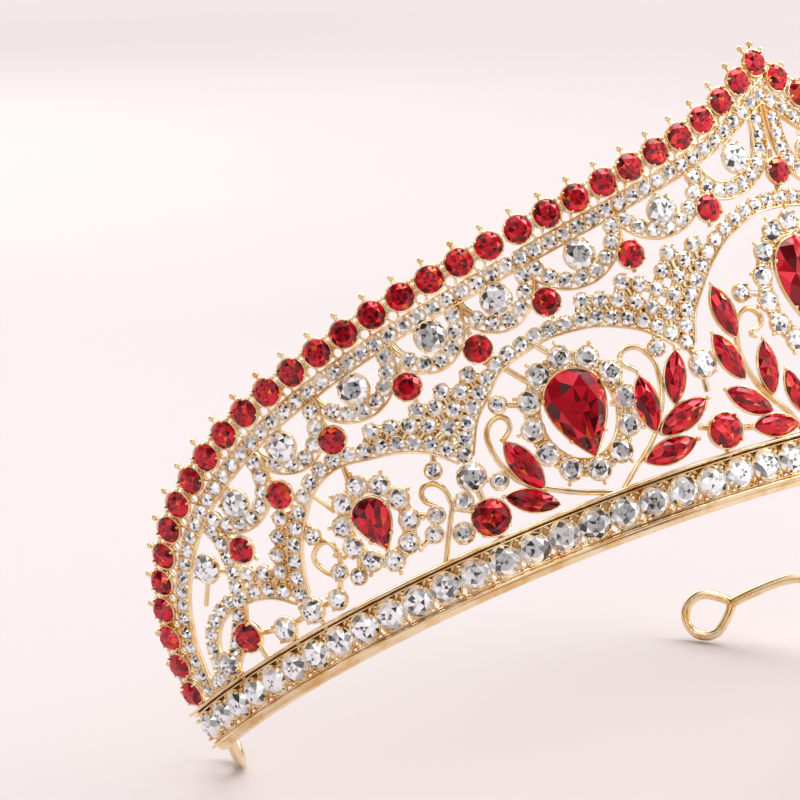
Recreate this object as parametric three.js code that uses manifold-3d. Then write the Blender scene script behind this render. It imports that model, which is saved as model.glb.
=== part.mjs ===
// A tiara: three openwork castings joined side by side, set with red and clear stones,
// on a base wire whose ends turn into closed loops. Units are millimetres.
//
// Each casting is drawn flat, as it is cast, and then bent into a cone that widens upwards.
// A place on the wall is given by its angle from the front and its height up the slope of
// the wall, above the line through the middle of the band.

import * as THREE from 'three';
import { mergeVertices } from 'three/addons/utils/BufferGeometryUtils.js';
import Module from 'manifold-3d';

const wasm = await Module();
wasm.setup();

// ---- driving dimensions ----

const BAND_RADIUS = 68.8;        // from the crown's axis to the back of the wall at the band
const FLARE = 16.7;              // degrees the wall leans outwards
const LEAN = 36.2;               // degrees the worn crown leans back
const WALL = 1.2;                // thickness of the cast wall
const GAP = 0.35;                // clearance between neighbouring pieces

const STONE_STEP = 3.75;         // degrees from one band stone to the next
const BAND_END = 95.6;           // degrees from the front to the band's end
const CASTING_JOINT = 31.3;      // degrees from the front to the joint between two castings
const BAND_TOP = 3.0;            // height of the band's upper edge
const BAND_BOTTOM = -3.2;
const RAIL_WIDTH = 0.8;
const RAIL_RISE = 1.1;           // how far a rail stands out from the wall
const FLOOR_INSET = 0.2;         // from the backs of the rails to the back of the band's floor

const WIRE = { width: 1.4, height: -4.25 };
const LOOP = { x: 55, y: 28, z: 2.2, radius: 3.8, steps: 16 };

const BAND_STONE = { radius: 2.2, rise: 1.9 };
const BORDER_STONE = { radius: 2.0, rise: 1.7 };
const SCALLOP_STONE = { radius: 2.2, rise: 1.8 };
const BERRY = { radius: 2.6, rise: 2.2 };

const BORDER = { beads: 31, jointBead: 20 };   // stones from the band's end to the peak
const BORDER_ROUTE = [[93, 5.4], [91, 12.2], [86, 20.7], [77, 29], [64, 35.1], [48, 39],
  [33, 41.9], [20, 45.3], [9, 49.9], [0, 57.5]];       // degrees from the front, height
const LACE = {
  inset: 3.6, width: 2.2, swagDepth: 6.8, swagWidth: 1.9, swagSpread: 0.7, stoneDrop: 3.5, dropLength: 7.1,
};
const SWAG_STEPS = 7;
const LACE_KNOTS = [84, 75.3, 65.6, 56.9, 47.2, 39.1, 31.2, 20.6, 10.3, 0];

const ARCH_WIDTH = 2.2;
const ARCH_ROUTES = [
  [[87, 4], [84.6, 9.3], [79, 13], [73, 11.8], [69.6, 8.6]],
  [[68.8, 8.6], [66.8, 14.8], [62, 21.2], [57, 23.1], [50.1, 21.1], [44.9, 16]],
  [[44, 16], [41.2, 21.6], [37.2, 26], [31.1, 27.9], [23.7, 26.3], [17.5, 20.2]],
  [[16.6, 20.2], [14, 27.4], [8.9, 34], [0, 37.4]],
];
const PAVE_TOPS = [
  [[76, 14.6], [71.4, 15], [67.8, 17], [65.4, 19.6], [61.6, 22.4]],
  [[56, 23.2], [51.5, 24.6], [47, 24.2], [43.6, 25.6], [40, 26.6], [36.5, 28]],
  [[27.4, 29.4], [24.5, 30.8], [20.5, 30.6], [16.8, 31.8], [12.8, 33.4]],
];

const PEARS = [
  { name: 'front', angle: 0, height: 24.6, length: 13.6, width: 9.6, halo: [7.1, 9.2], stones: 14 },
  { name: 'middle', angle: 31, height: 15.3, length: 12.8, width: 9, halo: [6.9, 8.3], stones: 12 },
  { name: 'end', angle: 56.6, height: 12.1, length: 7.8, width: 5.6, halo: [4.8, 5.9], stones: 10 },
];
const HALO_STONE = { radius: 1.65, rise: 1.3 };

const RED_BERRIES = [[15.4, 6.5, 2.6], [44.3, 6.6, 2.7], [78.3, 7.2, 2.3]];   // angle, height, radius
const CLEAR_BERRIES = [[15.8, 16.3, 2.1], [44.4, 12.6, 2.1], [68.5, 5.9, 1.9], [73.1, 5.7, 1.9],
  [83.6, 5.8, 1.8]];

const LEAF_WIDTH = 3.2;
const SPRAYS = [
  {
    name: 'front_spray',
    stem: [[6.9, 20], [8.2, 21.6], [9.8, 19.6], [10.1, 15.2], [9.4, 12.2], [7.2, 8.6], [3.9, 5]],
    leaves: [[12.1, 26.7, 10.7, 19], [13.4, 20, 11, 12.9], [7.4, 17.4, 7.8, 10], [13.6, 11.6, 8.6, 7.4],
      [11.3, 5.8, 5.4, 4.8], [4.9, 12.7, 3.9, 6.6]],
  },
  {
    name: 'fern_spray',
    stem: [[23.9, 19.6], [21.8, 19.6], [21.3, 15.5], [22, 12.4], [23.6, 9], [26.4, 4.9]],
    leaves: [[22.9, 17.4, 22.8, 9.8], [18.9, 19, 20.6, 12.4], [16.8, 11.4, 22.4, 8.9], [19.4, 6.4, 25.2, 5.8]],
  },
  {
    name: 'bud_spray',
    stem: [[38.8, 17.4], [40.2, 18.6], [41.3, 16.6], [41.1, 13.6], [39.6, 9.8], [37.4, 7.4], [35.6, 4.6]],
    leaves: [[40, 15.2, 38.3, 8.4], [41.6, 8.1, 36.9, 4.9]],
  },
];
const STEM_WIDTH = 0.9;
const STEM_INSET = 0.2;          // from the backs of the leaves to the back of their stem
const LEAF_RISE = 1.2;

const FINISHES = {
  gold: { color: 0xe6bd7c, roughness: 0.28, metalness: 1 },
  red: { color: 0xa80d1e, roughness: 0.05, metalness: 0 },
  clear: { color: 0xe9ebee, roughness: 0.05, metalness: 0 },
};

const radians = THREE.MathUtils.degToRad;
const flare = radians(FLARE);
const apexDistance = BAND_RADIUS / Math.sin(flare);    // from the cone's tip to the band's line

// ---- the flat casting and the bend that makes it a wall ----

// Where an angle and a height on the wall lie on the flat casting.
function flat(angle, height) {
  const turn = radians(angle) * Math.sin(flare);
  const reach = apexDistance + height;
  return new THREE.Vector2(reach * Math.sin(turn), reach * Math.cos(turn) - apexDistance);
}

function wallPoint(angle, height, out) {
  const radius = BAND_RADIUS + height * Math.sin(flare) + out * Math.cos(flare);
  const z = height * Math.cos(flare) - out * Math.sin(flare);
  return new THREE.Vector3(radius * Math.sin(angle), -radius * Math.cos(angle), z);
}

// Bends a shape drawn flat, whose z is its distance out from the back of the wall.
function bend(geometry) {
  const places = geometry.attributes.position;
  for (let i = 0; i < places.count; i++) {
    const [x, y, out] = [places.getX(i), places.getY(i), places.getZ(i)];
    const angle = Math.atan2(x, y + apexDistance) / Math.sin(flare);
    const height = Math.hypot(x, y + apexDistance) - apexDistance;
    const { x: across, y: back, z: up } = wallPoint(angle, height, out);
    places.setXYZ(i, across, back, up);
  }
  return geometry;
}

// ---- solids, drawn flat and bent ----

function solidOf(geometry) {
  geometry.deleteAttribute('normal');
  geometry.deleteAttribute('uv');
  const welded = mergeVertices(geometry, 1e-5);
  return new wasm.Manifold(new wasm.Mesh({
    numProp: 3,
    vertProperties: welded.attributes.position.array,
    triVerts: new Uint32Array(welded.index.array),
  }));
}

function join(solids) {
  return solids.reduce((whole, solid) => whole.add(solid));
}

// A plate of the given outline, from out = low to out = low + thick.
function plate(outline, low = 0, thick = WALL) {
  const geometry = new THREE.ExtrudeGeometry(new THREE.Shape(outline), { depth: thick, bevelEnabled: false });
  return solidOf(bend(geometry.translate(0, 0, low)));
}

// The line that runs a distance to the left of a route.
function beside(route, distance) {
  return route.map((point, i) => {
    const before = route[Math.max(i - 1, 0)];
    const after = route[Math.min(i + 1, route.length - 1)];
    const along = after.clone().sub(before).normalize();
    return new THREE.Vector2(point.x - along.y * distance, point.y + along.x * distance);
  });
}

// A strip along a route. Its width and thickness may change from one point to the next.
function strip(route, widths, low, thicknesses) {
  const steps = route.length - 1;
  const box = new THREE.BoxGeometry(1, 2, 2, steps).translate(0.5, 0, 0);
  const places = box.attributes.position;
  const lines = route.map((_, i) => [-1, 1].map((side) => beside(route, side * widths[i] / 2)[i]));
  for (let i = 0; i < places.count; i++) {
    const at = Math.round(places.getX(i) * steps);
    const { x, y } = lines[at][places.getY(i) > 0 ? 1 : 0];
    places.setXYZ(i, x, y, places.getZ(i) > 0 ? low + thicknesses[at] : low);
  }
  return solidOf(bend(box));
}

function ribbon(route, width, low, thick) {
  return strip(route, route.map(() => width), low, route.map(() => thick));
}

// A row of stones and the cups that join them: three steps of a strip for each stone.
function beadRow(route, { radius, rise }, low = 0) {
  const bead = (i) => (i % 3 === 0 ? 0.45 : 1.85);
  return strip(route, route.map((_, i) => radius * bead(i)), low,
    route.map((_, i) => (i % 3 === 0 ? WALL : WALL + rise)));
}

// A stone that hangs from a line by the short neck of its cup.
function pendant(from, to, { radius, rise }) {
  const past = to.clone().sub(from).setLength(radius);
  const route = [from, to.clone().addScaledVector(past, -0.7), to.clone().addScaledVector(past, 0.5),
    to.clone().add(past)];
  return strip(route, [1, radius * 1.7, radius * 1.8, radius * 0.8], 0,
    [WALL, WALL + rise, WALL + rise, WALL + rise]);
}

// A stone: a drum that narrows to its table.
function stone(centre, radius, rise, low = WALL, sides = 6) {
  const drum = new THREE.CylinderGeometry(radius * 0.6, radius, rise, sides).rotateX(Math.PI / 2);
  return solidOf(bend(drum.translate(centre.x, centre.y, low + rise / 2)));
}

function smooth(points, count) {
  return new THREE.SplineCurve(points).getSpacedPoints(count);
}

function routeOf(places, side, count) {
  return smooth(places.map(([angle, height]) => flat(side * angle, height)), count);
}

// ---- the band ----

function bandLine(from, to, height) {
  const steps = Math.ceil((to - from) / (2 * STONE_STEP));
  return Array.from({ length: steps + 1 }, (_, i) => flat(from + (to - from) * i / steps, height));
}

function bandChannel(from, to) {
  const middle = (BAND_TOP + BAND_BOTTOM) / 2;
  const floor = ribbon(bandLine(from, to, middle), BAND_TOP - BAND_BOTTOM - RAIL_WIDTH, FLOOR_INSET, WALL - FLOOR_INSET);
  const rails = [BAND_TOP - RAIL_WIDTH / 2, BAND_BOTTOM + RAIL_WIDTH / 2].map((height) =>
    ribbon(bandLine(from, to, height), RAIL_WIDTH, 0, WALL + RAIL_RISE));
  return join([floor, ...rails]);
}

// A run of band stones, from the first to the last one's place in the band.
function bandStones(first, last) {
  const count = 3 * (last - first + 1);
  const start = (first - 0.5) * STONE_STEP;
  const line = Array.from({ length: count + 1 }, (_, i) => flat(start + i * STONE_STEP / 3, 0));
  return beadRow(line.slice(0, -1).concat(flat(start + (count - 0.2) * STONE_STEP / 3, 0)),
    BAND_STONE, WALL + GAP);
}

// ---- the border ----

// The border between two of its stones, counted from the band's end.
function borderRun(side, first, last) {
  const line = routeOf(BORDER_ROUTE, side, 3 * BORDER.beads);
  return beadRow(line.slice(3 * first, 3 * last + 1), BORDER_STONE);
}

// ---- the lace under the border: a row of small stones, its swags and their drops ----

// The line of the lace's upper row, cut off at the crown's middle.
function laceLine(side) {
  const inset = beside(routeOf(BORDER_ROUTE, side, BORDER.beads), side * LACE.inset);
  const kept = inset.filter((point) => point.x * side > 0.8);
  const peak = flat(0, BORDER_ROUTE.at(-1)[1]);
  return [...kept, new THREE.Vector2(0, peak.y - LACE.inset * 1.25)];
}

function angleOf(point) {
  return Math.abs(THREE.MathUtils.radToDeg(Math.atan2(point.x, point.y + apexDistance) / Math.sin(flare)));
}

// The index on the lace's upper row that is nearest to an angle from the front.
function knotAt(line, angle) {
  let best = 0;
  line.forEach((point, i) => {
    if (Math.abs(angleOf(point) - angle) < Math.abs(angleOf(line[best]) - angle)) best = i;
  });
  return best;
}

function swag(line, side, from, to) {
  const start = line[knotAt(line, from)];
  const end = line[knotAt(line, to)];
  const middle = start.clone().add(end).multiplyScalar(0.5);
  const half = end.clone().sub(start).multiplyScalar(0.5);
  const inwards = new THREE.Vector2(-half.y, half.x).normalize().multiplyScalar(side);
  const arc = Array.from({ length: SWAG_STEPS + 1 }, (_, i) => {
    const turn = Math.PI * (1 - i / SWAG_STEPS);
    return middle.clone().addScaledVector(half, Math.cos(turn) * LACE.swagSpread)
      .addScaledVector(inwards, Math.sin(turn) * LACE.swagDepth);
  });
  const hung = middle.clone().addScaledVector(inwards, LACE.stoneDrop);
  return [ribbon(arc, LACE.swagWidth, 0, WALL), pendant(middle, hung, SCALLOP_STONE)];
}

// The red stone that hangs from a knot between two swags.
function drop(line, side, angle) {
  const i = knotAt(line, angle);
  const after = line[Math.min(i + 1, line.length - 1)];
  const along = after.clone().sub(line[i - 1]);
  const inwards = new THREE.Vector2(-along.y, along.x).normalize().multiplyScalar(side);
  return pendant(line[i], line[i].clone().addScaledVector(inwards, LACE.dropLength), BORDER_STONE);
}

// A line whose end stops short of its last point, to leave a gap to the next casting.
function shortened(line) {
  const [before, last] = line.slice(-2);
  return [...line.slice(0, -1), last.clone().lerp(before, 2 * GAP / last.distanceTo(before))];
}

// The lace between two of its knots. It stops short of a joint between castings.
function laceRun(side, from, to) {
  const line = laceLine(side);
  const first = from === LACE_KNOTS[0] ? 0 : knotAt(line, from);
  const stretch = line.slice(first, knotAt(line, to) + 1);
  const cut = to > 0 ? shortened(stretch) : shortened(stretch.reverse()).reverse();
  const upper = ribbon(cut, LACE.width, 0, WALL);
  const knots = LACE_KNOTS.filter((angle) => angle <= from && angle >= to);
  const swags = knots.slice(1).flatMap((angle, i) => swag(line, side, knots[i], angle));
  const drops = knots.slice(1).filter((angle) => angle > 0).map((angle) => drop(line, side, angle));
  return [upper, ...swags, ...drops];
}

// ---- the paved arches ----

function archRoute(index, side) {
  return routeOf(ARCH_ROUTES[index], side, 16);
}

// The half of an arch that runs from its crown down to its foot, or the other way round.
function archHalf(index, side, rising) {
  const route = archRoute(index, side);
  const crown = Math.round(route.length / 2) - 1;
  return rising ? route.slice(0, crown) : route.slice(crown);
}

// The paved web between two arches: it narrows to a point between their feet.
function web(index, side) {
  const down = archHalf(index, side, false);
  const up = archHalf(index + 1, side, true);
  const top = routeOf(PAVE_TOPS[index], side, 8).reverse();
  const outline = [...beside(down, side * ARCH_WIDTH / 2), ...beside(up, side * ARCH_WIDTH / 2), ...top];
  return plate(outline);
}

// ---- the pear stones and their halos ----

function ellipse(centre, halfWidth, halfHeight, count) {
  return Array.from({ length: count }, (_, i) => {
    const turn = 2 * Math.PI * i / count + Math.PI / 2;
    return new THREE.Vector2(centre.x + halfWidth * Math.cos(turn), centre.y + halfHeight * Math.sin(turn));
  });
}

function pearOutline(centre, length, width, tilt) {
  const count = 16;
  return Array.from({ length: count }, (_, i) => {
    const turn = 2 * Math.PI * i / count;
    const taper = Math.sin(turn / 2);
    const across = width * 0.62 * Math.sin(turn) * taper;
    const up = length / 2 * -Math.cos(turn);
    return new THREE.Vector2(across, up).rotateAround(new THREE.Vector2(), tilt).add(centre);
  });
}

function pearPlaces({ angle, height, length, width }, side) {
  const centre = flat(side * angle, height);
  const tilt = -radians(side * angle) * Math.sin(flare);
  return pearOutline(centre, length, width, tilt);
}

function pearStone(pear, side) {
  const full = pearPlaces(pear, side);
  const small = pearPlaces({ ...pear, length: pear.length * 0.7, width: pear.width * 0.7 }, side);
  const low = WALL + HALO_STONE.rise + GAP;
  return join([plate(full, low, 1), plate(small, low, 2)]);
}

// The ring of stones round a pear, with a scalloped edge and a solid back for the pear's cup.
function halo({ angle, height, halo: [halfWidth, halfHeight], stones }, side) {
  const centre = flat(side * angle, height);
  const outline = ellipse(centre, 1, 1, 2 * stones).map((point, i) => {
    const reach = HALO_STONE.radius * (i % 2 === 0 ? 1 : 0.4);
    const { x, y } = point.sub(centre);
    return new THREE.Vector2(centre.x + x * (halfWidth + reach), centre.y + y * (halfHeight + reach));
  });
  return plate(outline, 0, WALL + HALO_STONE.rise);
}

// ---- leaves on their stems, and berries ----

// A leaf lies from its tip to the place on the stem that is nearest to its foot.
function leaf([tipAngle, tipHeight, footAngle, footHeight], stem, side) {
  const tip = flat(side * tipAngle, tipHeight);
  const foot = flat(side * footAngle, footHeight);
  const near = stem.reduce((best, point) => (point.distanceTo(foot) < best.distanceTo(foot) ? point : best));
  const root = near.clone().add(near.clone().sub(tip).setLength(STEM_WIDTH * 0.7));
  const across = new THREE.Vector2(tip.y - foot.y, foot.x - tip.x).setLength(LEAF_WIDTH / 2);
  const shoulders = [0.3, 0.7].map((t) => tip.clone().lerp(foot, t));
  const outline = [tip, ...shoulders.map((at) => at.clone().add(across)), root,
    ...shoulders.reverse().map((at) => at.clone().sub(across))];
  return plate(outline, 0, WALL + LEAF_RISE);
}

function spray({ stem, leaves }, side) {
  const route = routeOf(stem, side, 9);
  return [ribbon(route, STEM_WIDTH, STEM_INSET, WALL), ...leaves.map((place) => leaf(place, route, side))];
}

// ---- the base wire ----

// A square wire along a route of points, with its flat sides square to the crown's axis.
function wireAlong(route, closed) {
  const section = new THREE.Shape([[-0.5, -0.5], [0.5, -0.5], [0.5, 0.5], [-0.5, 0.5]]
    .map(([x, y]) => new THREE.Vector2(x * WIRE.width, y * WIRE.width)));
  const path = new THREE.CatmullRomCurve3(route, closed);
  return solidOf(new THREE.ExtrudeGeometry(section, {
    steps: closed ? LOOP.steps : route.length - 1, extrudePath: path, bevelEnabled: false,
  }));
}

function baseWire() {
  const steps = 34;
  const radius = BAND_RADIUS + WIRE.height * Math.sin(flare) + 0.6;
  const z = WIRE.height * Math.cos(flare);
  const arc = Array.from({ length: steps + 1 }, (_, i) => {
    const angle = radians(BAND_END * (2 * i / steps - 1));
    return new THREE.Vector3(radius * Math.sin(angle), -radius * Math.cos(angle), z);
  });
  const ends = [-1, 1].map((side) => {
    const last = side < 0 ? arc[0] : arc.at(-1);
    const centre = new THREE.Vector3(side * LOOP.x, LOOP.y, LOOP.z);
    const along = centre.clone().sub(last).setZ(0).normalize();
    const touch = centre.clone().addScaledVector(along, -LOOP.radius);
    return { centre, along, touch };
  });
  const ring = ({ centre, along }) => Array.from({ length: LOOP.steps }, (_, i) => {
    const turn = 2 * Math.PI * i / LOOP.steps;
    return centre.clone().addScaledVector(along, LOOP.radius * Math.cos(turn))
      .add(new THREE.Vector3(0, 0, LOOP.radius * Math.sin(turn)));
  });
  const route = [ends[0].touch, ...arc, ends[1].touch];
  return join([wireAlong(route, false), wireAlong(ring(ends[0]), true), wireAlong(ring(ends[1]), true)]);
}

// ---- the assembly ----

function geometryOf(solid) {
  const mesh = solid.getMesh();
  const geometry = new THREE.BufferGeometry();
  geometry.setAttribute('position', new THREE.BufferAttribute(new Float32Array(mesh.vertProperties), 3));
  geometry.setIndex(new THREE.BufferAttribute(mesh.triVerts, 1));
  return geometry;
}

const crown = new THREE.Group();
crown.rotation.x = -radians(LEAN);

function add(name, solids, finish) {
  const geometry = geometryOf(join([solids].flat()));
  const material = new THREE.MeshStandardMaterial({ ...FINISHES[finish], flatShading: true });
  const mesh = new THREE.Mesh(geometry, material);
  mesh.name = name;
  crown.add(mesh);
}

add('base_wire', baseWire(), 'gold');

const seam = THREE.MathUtils.radToDeg(GAP / BAND_RADIUS);     // each casting stops this far short of a joint
add('front_band', bandChannel(-CASTING_JOINT + seam, CASTING_JOINT - seam), 'gold');
add('front_band_stones', bandStones(-8, 8), 'clear');
add('front_border', [-1, 1].map((side) => borderRun(side, BORDER.jointBead + 0.6, BORDER.beads)), 'gold');
add('front_lace', [...laceRun(-1, LACE_KNOTS[6], 0), ...laceRun(1, LACE_KNOTS[6], 0)], 'gold');

for (const [side, word] of [[-1, 'left'], [1, 'right']]) {
  const ends = [side * (CASTING_JOINT + seam), side * BAND_END].sort((a, b) => a - b);
  add(`${word}_band`, bandChannel(...ends), 'gold');
  add(`${word}_band_stones`, bandStones(...(side < 0 ? [-25, -9] : [9, 25])), 'clear');
  add(`${word}_border`, borderRun(side, 0, BORDER.jointBead), 'gold');
  add(`${word}_lace`, laceRun(side, LACE_KNOTS[0], LACE_KNOTS[6]), 'gold');
  add(`${word}_end_arch`, ribbon(archHalf(0, side, true), ARCH_WIDTH, 0, WALL), 'gold');
  ['end', 'middle', 'front'].forEach((part, i) => add(`${word}_${part}_web`, web(i, side), 'gold'));
  for (const pear of PEARS.slice(1)) {
    add(`${word}_${pear.name}_halo`, halo(pear, side), 'gold');
    add(`${word}_${pear.name}_pear`, pearStone(pear, side), 'red');
  }
  for (const each of SPRAYS) add(`${word}_${each.name}`, spray(each, side), 'red');
  RED_BERRIES.forEach(([angle, height, radius], i) =>
    add(`${word}_red_berry_${i + 1}`, stone(flat(side * angle, height), radius, BERRY.rise, 0, 8), 'red'));
  CLEAR_BERRIES.forEach(([angle, height, radius], i) =>
    add(`${word}_clear_berry_${i + 1}`, stone(flat(side * angle, height), radius, BERRY.rise, 0, 8), 'clear'));
}
add('front_halo', halo(PEARS[0], 1), 'gold');
add('front_pear', pearStone(PEARS[0], 1), 'red');

export default crown;
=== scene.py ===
"""A tiara in gold, red and clear stones, drawn flat and bent to its wall by node trees."""

import math
from functools import partial

import bpy
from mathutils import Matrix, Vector


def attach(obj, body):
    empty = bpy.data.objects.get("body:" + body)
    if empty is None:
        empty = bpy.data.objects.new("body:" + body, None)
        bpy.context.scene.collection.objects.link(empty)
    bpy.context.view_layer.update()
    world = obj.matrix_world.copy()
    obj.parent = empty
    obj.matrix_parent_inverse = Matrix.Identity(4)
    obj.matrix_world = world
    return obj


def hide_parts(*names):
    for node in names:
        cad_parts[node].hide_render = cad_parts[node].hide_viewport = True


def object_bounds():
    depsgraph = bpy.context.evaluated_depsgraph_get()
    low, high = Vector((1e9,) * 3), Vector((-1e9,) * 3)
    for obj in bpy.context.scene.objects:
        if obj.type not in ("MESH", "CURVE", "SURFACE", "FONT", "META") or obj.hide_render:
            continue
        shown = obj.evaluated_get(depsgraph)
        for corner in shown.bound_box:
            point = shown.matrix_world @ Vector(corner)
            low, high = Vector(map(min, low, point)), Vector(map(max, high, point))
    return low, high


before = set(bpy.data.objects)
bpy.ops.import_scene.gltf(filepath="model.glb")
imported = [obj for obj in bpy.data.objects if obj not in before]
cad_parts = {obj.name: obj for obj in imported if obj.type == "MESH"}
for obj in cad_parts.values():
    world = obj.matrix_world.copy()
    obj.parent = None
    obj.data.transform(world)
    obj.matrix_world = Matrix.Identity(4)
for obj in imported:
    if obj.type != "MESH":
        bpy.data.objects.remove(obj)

bl_info = {
    "name": "Openwork Tiara",
    "version": (1, 0, 0),
    "blender": (4, 5, 0),
    "location": "View3D > Sidebar > Tiara",
    "description": "Builds an openwork tiara with its stones, settings, leaves and base wire",
    "category": "Add Mesh",
}

CAD_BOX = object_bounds()
MM = 0.001

# ---- where things lie: degrees from the front, then millimetres up the wall from the band ----

BAND_END = 95.6
CASTING_JOINT = 31.3
STONE_STEP = 3.75
BAND_STONES_TO_END = 25

BORDER_BEADS = 31
JOINT_BEAD = 20
BORDER_ROUTE = [(93, 5.4), (91, 12.2), (86, 20.7), (77, 29), (64, 35.1), (48, 39), (33, 41.9),
                (20, 45.3), (9, 49.9), (0, 57.5)]
LACE_INSET = 3.6
LACE_KNOTS = [84, 75.3, 65.6, 56.9, 47.2, 39.1, 31.2, 20.6, 10.3, 0]
JOINT_KNOT = 6
SWAG_DEPTH = 6.8
SCALLOPS = [(78.4, 19.0), (70.3, 24.6), (62.0, 28.3), (52.0, 30.8), (42.6, 33.1), (35.0, 34.4),
            (25.4, 36.4), (15.4, 39.0), (5.2, 44.1)]
DROPS = [(72.6, 18.5), (64.8, 22.5), (56.5, 25.8), (46.8, 28.0), (38.6, 28.9), (30.3, 31.6),
         (20.2, 34.2), (10.1, 37.7), (0, 41.3)]
PEAK_SWAG = [(11.0, 44.6), (10.4, 42.9), (9.5, 41.2), (7.9, 39.9), (5.6, 40.0), (3.6, 41.2),
             (2.3, 42.9), (1.6, 44.7), (1.3, 46.6), (1.2, 48.4), (1.2, 51.4)]

ARCHES = [
    [(86.5, 4.6), (84.6, 9.3), (82.3, 11.8), (79, 13), (75.7, 12.7), (72.1, 11.3), (69.4, 8.6)],
    [(69, 8.6), (68.2, 11.4), (66.8, 14.8), (64.7, 18.1), (61.5, 21.7), (57.7, 23.2),
     (53.4, 22.2), (50.1, 21.1), (47, 19.1), (44.5, 15.9)],
    [(44.3, 15.9), (42.4, 20.2), (40.1, 23.1), (37.6, 25.9), (34.3, 27.2), (31.1, 27.9),
     (26.9, 27.5), (23.7, 26.3), (20.7, 24.5), (18.1, 21.7), (17, 20)],
    [(16.7, 20), (15.6, 24.4), (13.7, 27.9), (11.6, 31.2), (8.9, 34.1), (4.5, 36.8), (0, 37.5)],
]
WEB_STONES = [
    [(66.4, 19.6), (67.8, 17.4), (69.1, 15.2), (69.9, 12.9), (74.0, 15.1), (72.0, 14.0)],
    [(52.4, 24.5), (50.3, 23.8), (48.4, 22.9), (46.5, 21.8), (44.7, 20.4), (42.5, 20.1),
     (47.0, 24.4), (45.1, 23.7), (43.4, 22.3), (41.4, 21.5), (43.8, 25.4), (42.0, 24.3),
     (40.0, 23.0), (40.6, 26.1), (43.6, 18.2)],
    [(26.7, 30.1), (24.8, 29.5), (22.9, 28.6), (21.0, 27.5), (19.4, 26.2), (17.7, 24.8),
     (15.5, 24.4), (21.9, 30.9), (20.1, 29.8), (18.3, 28.5), (16.6, 27.0), (14.8, 26.2),
     (17.1, 30.8), (15.4, 29.4), (13.6, 27.8), (15.9, 33.0), (14.2, 31.4), (12.8, 29.5),
     (12.8, 33.3), (11.5, 31.1), (19.5, 23.1), (18.1, 21.7), (16.4, 22.2), (16.8, 20.2)],
]

PEARS = {
    "front": {"at": (0, 24.6), "length": 13.8, "width": 9.8, "halo": (7.1, 9.2), "count": 14},
    "middle": {"at": (31, 15.3), "length": 12.9, "width": 9, "halo": (6.9, 8.3), "count": 12},
    "end": {"at": (56.5, 12.5), "length": 7.9, "width": 5.7, "halo": (4.8, 5.9), "count": 10},
}

# angle, height and radius of the round stones, and the two ends of the bars that hold them
RED_BERRIES = [(15.4, 6.4, 2.6), (44.3, 6.4, 2.7), (78.3, 7.3, 2.3)]
CLEAR_BERRIES = [(15.8, 16.4, 2.0), (44.5, 12.7, 2.0), (68.5, 5.8, 1.8), (73.1, 5.4, 1.8),
                 (83.5, 5.6, 1.8)]
LOOSE_CLEARS = [(20.4, 20.5, 1.2), (48.1, 15.7, 1.15), (41.9, 10.6, 1.2), (46.4, 10, 1.25),
                (8.6, 24.9, 1.3), (38.9, 20.6, 1.2), (65, 5.4, 1.4), (49.9, 9.8, 1.2),
                (51, 7.5, 1.2), (47.9, 5.9, 1.4), (63.9, 15.1, 1.15), (63.2, 8.7, 1.15),
                (61.3, 6.9, 1.15)]
LINKS = [
    ((56.9, 22.0), (57.4, 18.0)), ((61.7, 20.3), (60.2, 16.6)), ((36.9, 25.2), (34.8, 21.6)),
    ((33.1, 26.9), (31.9, 24.8)), ((38.6, 20.5), (36.8, 19.4)), ((27.3, 15.2), (25.3, 13.9)),
    ((47.3, 18.1), (48.0, 16.0)), ((51.6, 11.0), (50.1, 9.8)), ((44.5, 12.7), (42.0, 10.6)),
    ((48.0, 9.8), (44.2, 6.8)), ((47.9, 5.9), (44.6, 5.8)), ((8.1, 24.7), (6.1, 24.2)),
    ((18.1, 8.0), (16.7, 7.3)), ((13.7, 6.3), (11.0, 5.7)), ((19.9, 22.8), (20.4, 20.5)),
    ((16.7, 19.5), (15.8, 16.6)), ((63.1, 8.7), (62.2, 11.1)), ((61.3, 6.9), (60.3, 9.2)),
    ((65.0, 5.4), (63.1, 8.7)), ((51.0, 7.5), (53.0, 6.7)), ((63.6, 15.9), (64.2, 17.6)),
    ((83.5, 5.6), (78.3, 7.3)), ((78.3, 7.3), (73.1, 5.4)), ((73.1, 5.4), (68.5, 5.8)),
    ((68.5, 5.8), (65.0, 5.4)), ((69.4, 8.6), (68.5, 5.8)), ((78.3, 7.3), (77.8, 12.6)),
    ((44.5, 12.7), (44.4, 15.9)), ((46.4, 10.0), (44.3, 6.4)), ((63.9, 15.1), (62.5, 13.0)),
]

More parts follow.
